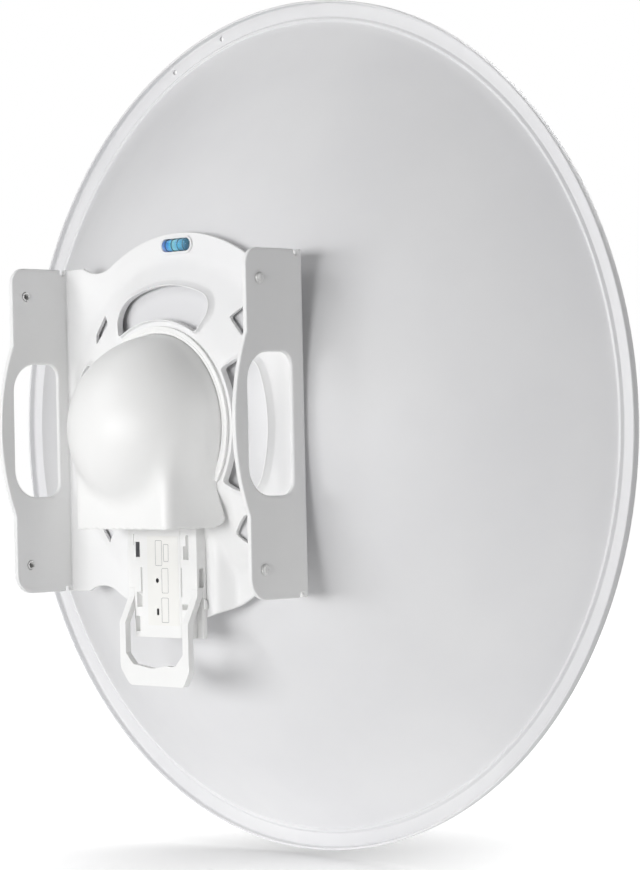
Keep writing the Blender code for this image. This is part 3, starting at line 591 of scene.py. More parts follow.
def run_rim(bm, edges, table, steps):
    """Runs an outline's edge along its rim steps, through the sheet to its front face."""
    for share, past, depth, from_front in steps:
        made = bmesh.ops.extrude_edge_only(bm, edges=edges)["geom"]
        edges = [g for g in made if isinstance(g, bmesh.types.BMEdge)]
        moved = {}
        for vert in (g for g in made if isinstance(g, bmesh.types.BMVert)):
            old = next(
                other for other in (link.other_vert(vert) for link in vert.link_edges)
                if other in table
            )
            base, ns, nz, foot = table[old]
            out = share * foot + past
            level = float(sheet_thickness(base.x)) if from_front else 0.0
            vert.co = (base.x + ns * out, base.y + nz * out, level + depth)
            moved[vert] = table[old]
        table = moved


def bracket_sheet(finish):
    """The pressed sheet: a flat blank with all its openings, pressed and then folded."""
    bm = bmesh.new()
    outer = walk_outline(blank_outline(), BLANK_CELL)
    openings = [(walk_outline(o, 1.6 * MM), r, lip) for o, r, lip in blank_openings()]
    reach = max(s for s, z in outer)
    columns = blank_columns(reach)
    rows = np.arange(-PLATE_DISC_R, PLATE_DISC_R + BLANK_CELL, BLANK_CELL)
    grid = bmesh.ops.create_grid(
        bm,
        x_segments=len(columns) - 1,
        y_segments=len(rows) - 1,
        size=1.0,
    )
    for vert in grid["verts"]:
        i = round((vert.co.x + 1.0) / 2.0 * (len(columns) - 1))
        j = round((vert.co.y + 1.0) / 2.0 * (len(rows) - 1))
        vert.co = (columns[i], rows[j], 0.0)
    bm.verts.index_update()
    spots = np.array([v.co.xy for v in bm.verts])
    near, inside = distance_to_outline(spots, outer)
    keep = inside & (near > 2.2 * MM)
    for outline, radius, lipped in openings:
        near, inside = distance_to_outline(spots, outline)
        rim = LIP_THICK + LIP_FOOT if lipped else radius
        keep &= ~inside & (near > rim + 1.0 * MM)
    loose = [v for v, kept in zip(bm.verts, keep) if not kept]
    bmesh.ops.delete(bm, geom=loose, context="VERTS")
    stray = [v for v in bm.verts if not v.link_faces]
    bmesh.ops.delete(bm, geom=stray, context="VERTS")

    rims = []
    edges, table = lay_outline(bm, outer, 1.0 * MM, False)
    rims.append((edges, table, plain_rim(1.0 * MM)))
    for outline, radius, lipped in openings:
        edges, table = lay_outline(bm, outline, radius, True, lipped)
        rims.append((edges, table, lipped_rim() if lipped else plain_rim(radius)))
    gap_edges = [e for e in bm.edges if e.is_wire or e.is_boundary]
    bmesh.ops.triangle_fill(
        bm, use_beauty=True, use_dissolve=False, edges=gap_edges, normal=(0.0, 0.0, -1.0)
    )
    for face in bm.faces:
        if face.normal.z > 0.0:
            face.normal_flip()
    rear_faces = list(bm.faces)
    front = bmesh.ops.duplicate(bm, geom=rear_faces)["geom"]
    front_faces = [g for g in front if isinstance(g, bmesh.types.BMFace)]
    for vert in (g for g in front if isinstance(g, bmesh.types.BMVert)):
        vert.co.z = float(sheet_thickness(vert.co.x))
    for face in front_faces:
        face.normal_flip()
    for edges, table, steps in rims:
        run_rim(bm, edges, table, steps)
    bmesh.ops.remove_doubles(bm, verts=bm.verts, dist=5e-6)
    bm.verts.index_update()
    flat = np.array([v.co for v in bm.verts])
    x, y, z = fold_blank(flat[:, 0], flat[:, 1], flat[:, 2])
    for vert, px, py, pz in zip(bm.verts, x, y, z):
        vert.co = (px, py, pz)
    bmesh.ops.recalc_face_normals(bm, faces=bm.faces)
    return finish_piece("bracket_sheet", bm, finish, ["rear_bracket"], 40.0)


def housing_distance(p):
    """Signed distance to the outside of the dome and its square hood, softly blended."""
    scaled = (p - np.array([0.0, DOME_CENTRE, 0.0])) / np.array([DOME_R, DOME_DEPTH, DOME_R])
    ball = (np.linalg.norm(scaled, axis=1) - 1.0) * DOME_R
    flare = (HOOD_BASE_HALF - HOOD_REAR_HALF) / (HOUSING_BASE - HOOD_REAR)
    side = np.abs(p[:, 0]) - HOOD_BASE_HALF + (HOUSING_BASE - p[:, 1]) * flare
    side /= math.hypot(1.0, flare)
    rear = HOOD_REAR - p[:, 1]
    top = p[:, 2] - HOOD_TOP
    q = np.stack([side, rear, top], axis=1) + HOOD_ROUND
    box = np.linalg.norm(np.maximum(q, 0.0), axis=1)
    box += np.minimum(q.max(axis=1), 0.0) - HOOD_ROUND
    return soft_min(ball, box, HOOD_BLEND)


def slanted_plane(first, second):
    """A plane across the side view through two (y, z) points in mm, facing the dish."""
    a = Vector((0.0, *first)) * MM
    b = Vector((0.0, *second)) * MM
    along = b - a
    return a, Vector((0.0, -along.z, along.y)).normalized()


def rear_housing_shell(finish):
    """The dome and hood as one moulded shell, open towards the bracket and below."""
    bm = bmesh.new()
    bmesh.ops.create_icosphere(bm, subdivisions=6, radius=1.0)
    heart = np.array([0.0, -155.0 * MM, -34.0 * MM])
    rays = np.array([v.co.normalized() for v in bm.verts])
    near = np.full(len(rays), 20.0 * MM)
    far = np.full(len(rays), 260.0 * MM)
    for _ in range(26):
        middle = (near + far) / 2.0
        outside = housing_distance(heart + rays * middle[:, None]) > 0.0
        far = np.where(outside, middle, far)
        near = np.where(outside, near, middle)
    for vert, place in zip(bm.verts, heart + rays * near[:, None]):
        vert.co = place
    base = (Vector((0.0, HOUSING_BASE, 0.0)), Vector((0.0, 1.0, 0.0)))
    low = (Vector((0.0, 0.0, HOOD_LOW)), Vector((0.0, 0.0, -1.0)))
    edge = slanted_plane(*HOOD_EDGE)
    corners = [slanted_plane(*pair) for pair in zip(HOOD_CORNER, HOOD_CORNER[1:])]
    for place, across in (base, low, edge, *corners):
        geom = bm.verts[:] + bm.edges[:] + bm.faces[:]
        bmesh.ops.bisect_plane(bm, geom=geom, plane_co=place, plane_no=across)
    cut = []
    for face in bm.faces:
        middle = face.calc_center_median()
        beyond = [(middle - place).dot(across) > 0.0 for place, across in (base, edge)]
        if all(beyond) or any((middle - p).dot(n) > 0.0 for p, n in (low, *corners)):
            cut.append(face)
    bmesh.ops.delete(bm, geom=cut, context="FACES")
    shell = finish_piece("housing_shell", bm, finish, ["rear_housing"], 50.0)
    wall = shell.modifiers.new("wall", "SOLIDIFY")
    wall.thickness = HOUSING_WALL
    wall.offset = -1.0
    return shell


def housing_ring(finish):
    """The flat ring round the dome with its fine seam, open below for the hood."""
    base = HOUSING_BASE
    rear = base - COLLAR_HEIGHT
    section = rounded(
        [
            (COLLAR_IN_R, base, 0.0),
            (COLLAR_IN_R, rear, 0.3 * MM),
            (COLLAR_SEAM_R - COLLAR_SEAM, rear, 0.1 * MM),
            (COLLAR_SEAM_R, rear + COLLAR_SEAM, 0.05 * MM),
            (COLLAR_SEAM_R + COLLAR_SEAM, rear, 0.1 * MM),
            (COLLAR_OUT_R, rear, 0.5 * MM),
            (COLLAR_OUT_R, base, 0.0),
        ],
        4,
    )
    start = math.radians(COLLAR_END)
    bm = bmesh.new()
    verts = []
    for r, y in section:
        verts.append(bm.verts.new((r * math.cos(start), y, -r * math.sin(start))))
    face = bm.faces.new(verts)
    bmesh.ops.spin(
        bm,
        geom=[face] + list(face.edges) + list(face.verts),
        cent=(0.0, 0.0, 0.0),
        axis=(0.0, 1.0, 0.0),
        angle=-(math.pi + 2.0 * start),
        steps=120,
        use_merge=False,
    )
    bmesh.ops.remove_doubles(bm, verts=bm.verts, dist=1e-6)
    bmesh.ops.recalc_face_normals(bm, faces=bm.faces)
    return finish_piece("housing_ring", bm, finish, ["housing_collar"], 40.0)


def flat_side(bm, axis, level):
    """Faces of a block that lie in one plane across an axis."""
    found = []
    for face in bm.faces:
        middle = face.calc_center_median()
        if abs(face.normal[axis]) > 0.99 and abs(middle[axis] - level) < 0.02 * MM:
            found.append(face)
    return found


def push_region(bm, axis, level, low, high, distance, inner=0):
    """Moves a rectangle of a flat side out, or in where the distance is negative."""
    others = [i for i in range(3) if i != axis]
    for k, i in enumerate(others):
        for line in (low[k], high[k]):
            bm.normal_update()
            side = flat_side(bm, axis, level)
            geom = set(side)
            for face in side:
                geom.update(face.edges)
                geom.update(face.verts)
            place = Vector((0.0, 0.0, 0.0))
            place[i] = line
            across = Vector((0.0, 0.0, 0.0))
            across[i] = 1.0
            bmesh.ops.bisect_plane(bm, geom=list(geom), plane_co=place, plane_no=across)
    bm.normal_update()
    region = []
    for face in flat_side(bm, axis, level):
        middle = face.calc_center_median()
        if all(low[k] < middle[i] < high[k] for k, i in enumerate(others)):
            region.append(face)
    out = region[0].normal.copy()
    made = bmesh.ops.extrude_face_region(bm, geom=region)["geom"]
    kept = [f for f in region if f.is_valid]
    bmesh.ops.delete(bm, geom=kept, context="FACES")
    moved = [g for g in made if isinstance(g, bmesh.types.BMVert)]
    bmesh.ops.translate(bm, verts=moved, vec=out * distance)
    if inner:
        for face in (g for g in made if isinstance(g, bmesh.types.BMFace)):
            face.material_index = inner
            for edge in face.edges:
                for wall in edge.link_faces:
                    wall.material_index = inner


def soften_edges(bm, width, segments=2, angle=35.0, below=None):
    """Rounds every sharp edge of a shape, or only those below a height."""
    bm.normal_update()
    sharp = []
    for edge in bm.edges:
        if below is not None and max(v.co.z for v in edge.verts) > below:
            continue
        if len(edge.link_faces) == 2 and edge.calc_face_angle(0.0) > math.radians(angle):
            sharp.append(edge)
    bmesh.ops.bevel(
        bm,
        geom=sharp,
        offset=width,
        offset_type="OFFSET",
        affect="EDGES",
        segments=segments,
        profile=0.5,
        material=-1,
        clamp_overlap=True,
    )


def in_mm(*values):
    return tuple(v * MM for v in values)


def port_unit(finish, dark):
    """The radio unit's end under the hood: stepped block with its slots and recesses."""
    step = BLOCK_HALF - ARM_WIDTH - GAP
    shelf = BLOCK_REAR + ARM_DEPTH + GAP
    bm = bmesh.new()
    corners = {}
    faces = []
    sections = (
        ((-step, BLOCK_REAR), (step, BLOCK_REAR), (step, shelf), (BLOCK_HALF, shelf),
         (BLOCK_HALF, BLOCK_FRONT), (-BLOCK_HALF, BLOCK_FRONT), (-BLOCK_HALF, shelf),
         (-step, shelf)),
        ((-BLOCK_HALF, BLOCK_REAR), (-step, BLOCK_REAR), (-step, shelf), (-BLOCK_HALF, shelf)),
        ((step, BLOCK_REAR), (BLOCK_HALF, BLOCK_REAR), (BLOCK_HALF, shelf), (step, shelf)),
    )
    for section in sections:
        for x, y in section:
            if (x, y) not in corners:
                corners[(x, y)] = bm.verts.new((x, y, SHOULDER_Z))
        faces.append(bm.faces.new([corners[point] for point in section]))
    made = bmesh.ops.extrude_face_region(bm, geom=faces)["geom"]
    upper = [g for g in made if isinstance(g, bmesh.types.BMVert)]
    bmesh.ops.translate(bm, verts=upper, vec=(0.0, 0.0, TONGUE_LOW - SHOULDER_Z))
    lowered = bmesh.ops.extrude_discrete_faces(bm, faces=faces[:1])["faces"]
    drop = (0.0, 0.0, BLOCK_LOW - SHOULDER_Z)
    bmesh.ops.translate(bm, verts=lowered[0].verts, vec=drop)
    bmesh.ops.recalc_face_normals(bm, faces=bm.faces)
    wide = BLOCK_HALF + MM
    tongue = ((-wide, BLOCK_REAR - MM), (wide, TONGUE_FRONT))
    push_region(bm, 2, TONGUE_LOW, *tongue, BLOCK_TOP - TONGUE_LOW)
    for low, high, depth, inner in BLOCK_POCKETS:
        push_region(bm, 1, BLOCK_REAR, in_mm(*low), in_mm(*high), -depth * MM, inner)
    low, high, depth = TAPERED_NOTCH
    push_region(bm, 1, BLOCK_REAR, in_mm(*low), in_mm(*high), -depth * MM)
    floor = BLOCK_REAR + depth * MM
    for vert in bm.verts:
        if abs(vert.co.y - floor) < 1e-6 and abs(vert.co.z - high[1] * MM) < 1e-6:
            vert.co.y = BLOCK_REAR + GAP
    for side in (-1, 1):
        level = side * BLOCK_HALF
        push_region(bm, 0, level, in_mm(*SIDE_POCKET[0]), in_mm(*SIDE_POCKET[1]), -4.0 * MM)
    bmesh.ops.remove_doubles(bm, verts=bm.verts, dist=2e-5)
    soften_edges(bm, 0.3 * MM)
    unit = finish_piece("port_unit", bm, finish, ["port_block"])
    unit.data.materials.append(dark)
    return unit


def flat_outline(bm, outline, y, holes=()):
    """A flat face across the dish axis, from (x, z) outlines."""
    edges = []
    for points in (outline, *holes):
        verts = [bm.verts.new((x, y, z)) for x, z in points]
        edges += [bm.edges.new(pair) for pair in zip(verts, verts[1:] + verts[:1])]
    made = bmesh.ops.triangle_fill(
        bm, use_beauty=True, use_dissolve=False, edges=edges, normal=(0.0, -1.0, 0.0)
    )
    return [g for g in made["geom"] if isinstance(g, bmesh.types.BMFace)]


def thicken(bm, faces, depth):
    """Gives flat faces a thickness towards the dish."""
    made = bmesh.ops.extrude_face_region(bm, geom=faces)["geom"]
    moved = [g for g in made if isinstance(g, bmesh.types.BMVert)]
    bmesh.ops.translate(bm, verts=moved, vec=(0.0, depth, 0.0))
    bmesh.ops.recalc_face_normals(bm, faces=bm.faces)


def rectangle(low, high, radius, steps=5):
    """A rounded rectangle from two opposite corners, in millimetres."""
    (x1, z1), (x2, z2) = in_mm(*low), in_mm(*high)
    r = radius * MM
    return rounded([(x1, z1, r), (x2, z1, r), (x2, z2, r), (x1, z2, r)], steps)


def port_panel(finish, blank, line):
    """The plain panel over the ports, its blank inlay and plain outlines of the openings."""
    rear = BLOCK_REAR - PANEL_PROUD
    bm = bmesh.new()
    peephole = arc(in_mm(*PEEPHOLE), PEEPHOLE_R, 0.0, 345.0, 23)
    keyhole = rectangle(*KEYHOLE, 0.2, 2)
    edge = rectangle((-19.7, -153.9), (19.7, -66.4), 1.5)
    faces = flat_outline(bm, edge, rear, [peephole, keyhole])
    thicken(bm, faces, PANEL_PROUD - 0.05 * MM)
    soften_edges(bm, 0.12 * MM, 1, 60.0)
    panel = finish_piece("port_panel", bm, finish, ["port_cover"])

    bm = bmesh.new()
    inlay = rectangle((-15.8, -145.2), (17.6, -79.6), 0.8)
    faces = flat_outline(bm, inlay, rear - 0.12 * MM, [peephole, keyhole])
    thicken(bm, faces, 0.11 * MM)
    finish_piece("panel_inlay", bm, blank)

    bm = bmesh.new()
    for low, high in PORT_OUTLINES:
        outer = rectangle(low, high, 1.0)
        t = 0.34
        inner = rectangle((low[0] + t, low[1] + t), (high[0] - t, high[1] - t), 0.7)
        faces = flat_outline(bm, outer, rear - 0.2 * MM, [inner])
        thicken(bm, faces, 0.07 * MM)
    finish_piece("port_outlines", bm, line)
    return panel


def handle_rear(x, z):
    """Y of the handle's rear face: flush arms, a ramp, then the tilted finger bar."""
    ramp = min(max((RAMP_TOP - z) / (RAMP_TOP - RAMP_LOW), 0.0), 1.0)
    y = BLOCK_REAR + (HANDLE_REAR - BLOCK_REAR) * ramp
    bar_top = HANDLE_LOW + HANDLE_BAR
    if z < bar_top:
        y += HANDLE_TILT * (bar_top - z) / (bar_top - HANDLE_LOW + 10.0 * MM)
        grip = max(0.0, 1.0 - (x / (24.0 * MM)) ** 2)
        y += 0.7 * MM * grip * (0.5 - 0.5 * math.cos(x * math.tau / (16.0 * MM)))
    return y


def pull_grip(finish):
    """The U-shaped handle: arms in the block's side steps and a waved finger bar."""
    half = BLOCK_HALF
    inner = half - ARM_WIDTH - GAP + HANDLE_SEAM
    top = SHOULDER_Z - HANDLE_SEAM
    bar_top = HANDLE_LOW + HANDLE_BAR
    wave = []
    for i in range(15):
        x = 21.0 * MM - 42.0 * MM * (i + 1) / 16.0
        sag = 0.5 + 0.5 * math.cos((x + 4.0 * MM) * math.pi / (17.0 * MM))
        wave.append((x, bar_top - 1.4 * MM - 2.2 * MM * sag, 0.0))
    corners = [
        (-half, top, 0.0),
        (-half, -177.0 * MM, 8.0 * MM),
        (-29.0 * MM, HANDLE_LOW, 6.0 * MM),
        (29.0 * MM, HANDLE_LOW, 6.0 * MM),
        (half, -177.0 * MM, 8.0 * MM),
        (half, top, 0.0),
        (inner, top, 0.0),
        (inner, bar_top + 7.0 * MM, 2.5 * MM),
        (23.0 * MM, bar_top - 1.0 * MM, 3.0 * MM),
        *wave,
        (-23.0 * MM, bar_top - 1.0 * MM, 3.0 * MM),
        (-inner, bar_top + 7.0 * MM, 2.5 * MM),
        (-inner, top, 0.0),
    ]
    bm = bmesh.new()
    flat_outline(bm, rounded(corners, 5), 0.0)
    levels = [RAMP_TOP, RAMP_TOP - 2.0 * MM, RAMP_LOW + 2.0 * MM, RAMP_LOW]
    levels += [bar_top - 3.0 * MM * k for k in range(-1, 5)]
    cuts = [((0.0, 0.0, z), (0.0, 0.0, 1.0)) for z in levels]
    cuts += [((3.0 * MM * k, 0.0, 0.0), (1.0, 0.0, 0.0)) for k in range(-9, 10)]
    for place, across in cuts:
        geom = bm.verts[:] + bm.edges[:] + bm.faces[:]
        bmesh.ops.bisect_plane(bm, geom=geom, plane_co=place, plane_no=across)
    thicken(bm, bm.faces[:], ARM_DEPTH)
    for vert in bm.verts:
        vert.co.y += handle_rear(vert.co.x, vert.co.z)
    soften_edges(bm, 0.6 * MM, 3, 40.0, BLOCK_LOW)
    return finish_piece("pull_grip", bm, finish, ["pull_handle"])


def softened(name, node, width, finish, segments=2, angle=30.0):
    """A finer copy of a frame node, merged and with its edges rounded."""
    bm = bmesh.new()
    bm.from_mesh(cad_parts[node].data)
    bmesh.ops.remove_doubles(bm, verts=bm.verts, dist=1e-6)
    bmesh.ops.dissolve_limit(
        bm, angle_limit=math.radians(2.0), verts=bm.verts[:], edges=bm.edges[:]
    )
    soften_edges(bm, width, segments, angle)
    bmesh.ops.translate(bm, verts=bm.verts, vec=-DISH_AXIS)
    return finish_piece(name, bm, finish, [node], 40.0)


def turned_piece(name, profile, steps, finish, nodes):
    """A ring or disc turned round the dish axis from a profile with rounded corners."""
    bm = bmesh.new()
    spin_profile(bm, rounded(profile, 3), steps)
    return finish_piece(name, bm, finish, nodes)


def ear_rivet(name, node, side, end, finish):
    """A threaded insert: low domed head outside, ringed open thread inside the ear."""
    hole = BOLT_HOLE_R - GAP
    inside = -EAR_SHEET - 0.85 * MM
    profile = [(0.0, 2.15 * MM)]
    for i in range(1, 9):
        a = math.radians(11.25 * i)
        profile.append((4.0 * MM * math.sin(a), 0.55 * MM + 1.6 * MM * math.cos(a)))
    profile += [
        (4.25 * MM, 0.4 * MM),
        (4.25 * MM, GAP),
        (hole, GAP),
        (hole, -EAR_SHEET - 0.1 * MM),
        (hole - 0.15 * MM, inside),
        (2.6 * MM, inside),
        (2.25 * MM, inside + 0.4 * MM),
    ]
    depth = inside + 0.4 * MM
    while depth < -1.4 * MM:
        profile += [(2.0 * MM, depth + 0.2 * MM), (2.3 * MM, depth + 0.4 * MM)]
        depth += 0.4 * MM
    profile += [(2.0 * MM, -0.8 * MM), (0.0, -0.8 * MM)]
    bm = bmesh.new()
    spin_profile(bm, profile, 36, closed=False)
    turn = Matrix.Rotation(math.radians(-90.0 * side), 3, "Z")
    bmesh.ops.rotate(bm, verts=bm.verts, cent=(0.0, 0.0, 0.0), matrix=turn)
    place = (side * EAR_FACE_X, BOLT_Y, end * BOLT_Z)
    bmesh.ops.translate(bm, verts=bm.verts, vec=place)
    return finish_piece(name, bm, finish, [node])


def capsule(bm, start, end, radius, steps, rings):
    """A round-ended rod lying across the plate, between two x places."""
    profile = [(0.0, start)]
    for i in range(1, rings + 1):
        a = math.radians(90.0 * i / rings)
        profile.append((radius * math.sin(a), start + radius - radius * math.cos(a)))
    for i in range(rings):
        a = math.radians(90.0 * (rings - i) / rings)
        profile.append((radius * math.sin(a), end - radius + radius * math.cos(a)))
    profile.append((0.0, end))
    spin_profile(bm, profile, steps, closed=False)
    turn = Matrix.Rotation(math.radians(-90.0), 3, "Z")
    bmesh.ops.rotate(bm, verts=bm.verts, cent=(0.0, 0.0, 0.0), matrix=turn)
    bmesh.ops.translate(bm, verts=bm.verts, vec=(0.0, VIAL_Y, LEVEL_Z))


def bubble_level(liquid, clear, ring, frame_finish):
    """The level: blue liquid in a clear capsule with end rings, in a low frame."""
    reach = VIAL_LENGTH / 2.0
    bm = bmesh.new()
    capsule(bm, -reach + 0.8 * MM, reach - 5.4 * MM, VIAL_R - 0.55 * MM, 32, 7)
    finish_piece("level_liquid", bm, liquid, ["level_vial"])
    bm = bmesh.new()
    capsule(bm, -reach, reach, VIAL_R - 0.05 * MM, 40, 9)
    finish_piece("level_glass", bm, clear)
    bm = bmesh.new()
    for x in (-8.6, -2.2, 4.2, reach / MM - 5.2):
        verts = []
        for k in range(8):
            a = math.tau * k / 8.0
            r = VIAL_R + 0.06 * MM + 0.22 * MM * math.cos(a)
            verts.append(bm.verts.new((r, 0.22 * MM * math.sin(a) - x * MM, 0.0)))
        edges = [bm.edges.new(pair) for pair in zip(verts, verts[1:] + verts[:1])]
        bmesh.ops.spin(
            bm, geom=verts + edges, cent=(0.0, 0.0, 0.0), axis=(0.0, 1.0, 0.0),
            angle=math.tau, steps=40, use_merge=True,
        )
    turn = Matrix.Rotation(math.radians(90.0), 3, "Z")
    bmesh.ops.rotate(bm, verts=bm.verts, cent=(0.0, 0.0, 0.0), matrix=turn)
    bmesh.ops.translate(bm, verts=bm.verts, vec=(0.0, VIAL_Y, LEVEL_Z))
    bmesh.ops.recalc_face_normals(bm, faces=bm.faces)
    finish_piece("level_marks", bm, ring)
    softened("level_frame", "level_bezel", 0.35 * MM, frame_finish, 2, 50.0)


def feed_pieces(finishes):
    """The feed on the dish's axis: foot, tube, band, flared head, seal and cap."""
    plastic = finishes["housing_white"]
    seat = bowl_rear(HUB_HOLE_R) + SKIN + GAP + MM
    rim = bowl_rear(FLANGE_R) + SKIN + GAP
    top = rim + FLANGE_THICK
    inner = FEED_R + GAP
    foot = [
        (inner, seat, 0.0),
        (HUB_HOLE_R + 2.0 * MM, seat, 0.0),
        (FLANGE_R, rim, 0.4 * MM),
        (FLANGE_R, top, 1.8 * MM),
        (FEED_R + 6.0 * MM, top, 3.0 * MM),
        (FEED_R + 3.2 * MM, top + FLANGE_BOSS, 1.2 * MM),
        (inner, top + FLANGE_BOSS, 0.5 * MM),
    ]
    turned_piece("feed_foot", foot, 128, plastic, ["feed_flange"])
    r = FEED_R
    groove = FEED_SHOULDER - 34.0 * MM
    tube = [
        (0.001 * MM, FEED_REAR, 0.0),
        (r, FEED_REAR, 1.8 * MM),
        (r, groove, 0.1 * MM),
        (r - 0.6 * MM, groove + 0.3 * MM, 0.1 * MM),
        (r - 0.6 * MM, groove + 1.1 * MM, 0.1 * MM),
        (r, groove + 1.4 * MM, 0.1 * MM),
        (r, FEED_SHOULDER, 6.0 * MM),
        (FEED_NECK_R, FEED_NECK, 0.6 * MM),
        (0.001 * MM, FEED_NECK, 0.0),
    ]
    turned_piece("feed_body", tube, 112, plastic, ["feed_tube"])
    band = [
        (inner, BAND_LOW, 0.0),
        (BAND_R, BAND_LOW, 0.8 * MM),
        (BAND_R, BAND_LOW + 2.3 * MM, 0.3 * MM),
        (BAND_R - 0.6 * MM, BAND_LOW + 2.6 * MM, 0.2 * MM),
        (BAND_R - 0.6 * MM, BAND_HIGH - 2.6 * MM, 0.2 * MM),
        (BAND_R, BAND_HIGH - 2.3 * MM, 0.3 * MM),
        (BAND_R, BAND_HIGH, 0.8 * MM),
        (inner, BAND_HIGH, 0.0),
    ]
    turned_piece("feed_collar", band, 112, plastic, ["feed_band"])
    start = FEED_NECK + GAP
    head = [
        (0.001 * MM, start, 0.0),
        (FEED_NECK_R, start, 0.6 * MM),
        (FEED_NECK_R + 3.0 * MM, start + 8.0 * MM, 5.0 * MM),
        (HEAD_R - 4.0 * MM, HEAD_FRONT - 10.0 * MM, 4.0 * MM),
        (HEAD_R, HEAD_FRONT - 6.0 * MM, 1.5 * MM),
        (HEAD_R, HEAD_FRONT, 0.6 * MM),
        (0.001 * MM, HEAD_FRONT, 0.0),
    ]
    turned_piece("feed_horn", head, 112, plastic, ["feed_head"])
    low = HEAD_FRONT + GAP
    seal = [
        (0.001 * MM, low, 0.0),
        (SEAL_R, low, 0.5 * MM),
        (SEAL_R, low + SEAL_THICK, 0.5 * MM),
        (0.001 * MM, low + SEAL_THICK, 0.0),
    ]
    turned_piece("feed_gasket", seal, 96, finishes["seal_grey"], ["feed_seal"])
    base = low + SEAL_THICK + GAP
    skirt = base + CAP_SKIRT
    cap = [(0.001 * MM, base, 0.0), (HEAD_R, base, 0.5 * MM)]
    for i in range(19):
        a = math.radians(5.0 * i)
        cap.append((HEAD_R * math.cos(a), skirt + (CAP_FRONT - skirt) * math.sin(a), 0.0))
    cap[-1] = (0.001 * MM, CAP_FRONT, 0.0)
    turned_piece("feed_dome", cap, 112, plastic, ["feed_cap"])


def foot_screw(number, finish):
    """A pan-headed screw with a round socket, on the feed's foot."""
    a = math.radians(90.0 * number - 45.0)
    seat = bowl_rear(FLANGE_R) + SKIN + 2.0 * GAP + FLANGE_THICK
    bm = bmesh.new()
    profile = [
        (0.0, seat, 0.0),
        (SCREW_HEAD_R, seat, 0.2 * MM),
        (SCREW_HEAD_R, seat + SCREW_HEAD, 1.1 * MM),
        (1.9 * MM, seat + SCREW_HEAD, 0.1 * MM),
    ]
    points = rounded(profile, 4)
    verts = [bm.verts.new((r, y, 0.0)) for r, y in points]
    edges = [bm.edges.new(pair) for pair in zip(verts, verts[1:])]
    bmesh.ops.spin(
        bm, geom=verts + edges, cent=(0.0, 0.0, 0.0), axis=(0.0, 1.0, 0.0),
        angle=math.tau, steps=36, use_merge=True,
    )
    bmesh.ops.remove_doubles(bm, verts=bm.verts, dist=1e-6)
    rim = [e for e in bm.edges if e.is_boundary and e.verts[0].co.y > seat + MM]
    down = bmesh.ops.extrude_edge_only(bm, edges=rim)["geom"]
    sunk = [g for g in down if isinstance(g, bmesh.types.BMVert)]
    bmesh.ops.translate(bm, verts=sunk, vec=(0.0, -1.4 * MM, 0.0))
    floor_edges = [g for g in down if isinstance(g, bmesh.types.BMEdge)]
    bmesh.ops.contextual_create(bm, geom=floor_edges)
    bmesh.ops.recalc_face_normals(bm, faces=bm.faces)
    place = (FLANGE_BOLT_CIRCLE * math.cos(a), 0.0, FLANGE_BOLT_CIRCLE * math.sin(a))
    bmesh.ops.translate(bm, verts=bm.verts, vec=place)
    name = f"foot_screw_{number}"
    return finish_piece(name, bm, finish, [f"flange_screw_{number}"])


def new_finish(name):
    """An empty node material and its shader."""
    finish = bpy.data.materials.new(name)
    finish.use_nodes = True
    return finish, finish.node_tree.nodes["Principled BSDF"]


def noise(tree, coords, scale, detail):
    node = tree.nodes.new("ShaderNodeTexNoise")
    node.inputs["Scale"].default_value = scale
    node.inputs["Detail"].default_value = detail
    tree.links.new(coords.outputs["Object"], node.inputs["Vector"])
    return node


def spread(tree, source, low, high, start=0.3, stop=0.7):
    """Maps a pattern's middle range onto two values."""
    node = tree.nodes.new("ShaderNodeMapRange")
    node.inputs["From Min"].default_value = start
    node.inputs["From Max"].default_value = stop
    node.inputs["To Min"].default_value = low
    node.inputs["To Max"].default_value = high
    tree.links.new(source, node.inputs["Value"])
    return node.outputs["Result"]


def tone_ramp(tree, source, dark, light, start=0.35, stop=0.65):
    ramp = tree.nodes.new("ShaderNodeValToRGB")
    ramp.color_ramp.elements[0].position = start
    ramp.color_ramp.elements[1].position = stop
    ramp.color_ramp.elements[0].color = (*dark, 1.0)
    ramp.color_ramp.elements[1].color = (*light, 1.0)
    tree.links.new(source, ramp.inputs["Fac"])
    return ramp.outputs["Color"]


def bump(tree, shader, source, strength, distance, below=None):
    node = tree.nodes.new("ShaderNodeBump")
    node.inputs["Strength"].default_value = strength
    node.inputs["Distance"].default_value = distance
    tree.links.new(source, node.inputs["Height"])
    if below is not None:
        tree.links.new(below.outputs["Normal"], node.inputs["Normal"])
    tree.links.new(node.outputs["Normal"], shader.inputs["Normal"])
    return node


def powder_coat(name, dark, light, rough_low, rough_high, peel, peel_depth):
    """White powder coat: fine orange peel, broad tone drift and uneven gloss."""
    finish, shader = new_finish(name)
    tree = finish.node_tree
    coords = tree.nodes.new("ShaderNodeTexCoord")
    drift = noise(tree, coords, 9.0, 3.0)
    colour = tone_ramp(tree, drift.outputs["Fac"], dark, light)
    tree.links.new(colour, shader.inputs["Base Color"])
    patches = noise(tree, coords, 60.0, 4.0)
    rough = spread(tree, patches.outputs["Fac"], rough_low, rough_high)
    tree.links.new(rough, shader.inputs["Roughness"])
    orange = noise(tree, coords, peel, 2.0)
    coarse = bump(tree, shader, orange.outputs["Fac"], 0.35, peel_depth)
    grain = noise(tree, coords, peel * 4.0, 2.0)
    bump(tree, shader, grain.outputs["Fac"], 0.2, peel_depth * 0.3, coarse)
    shader.inputs["Specular IOR Level"].default_value = 0.4
    return finish


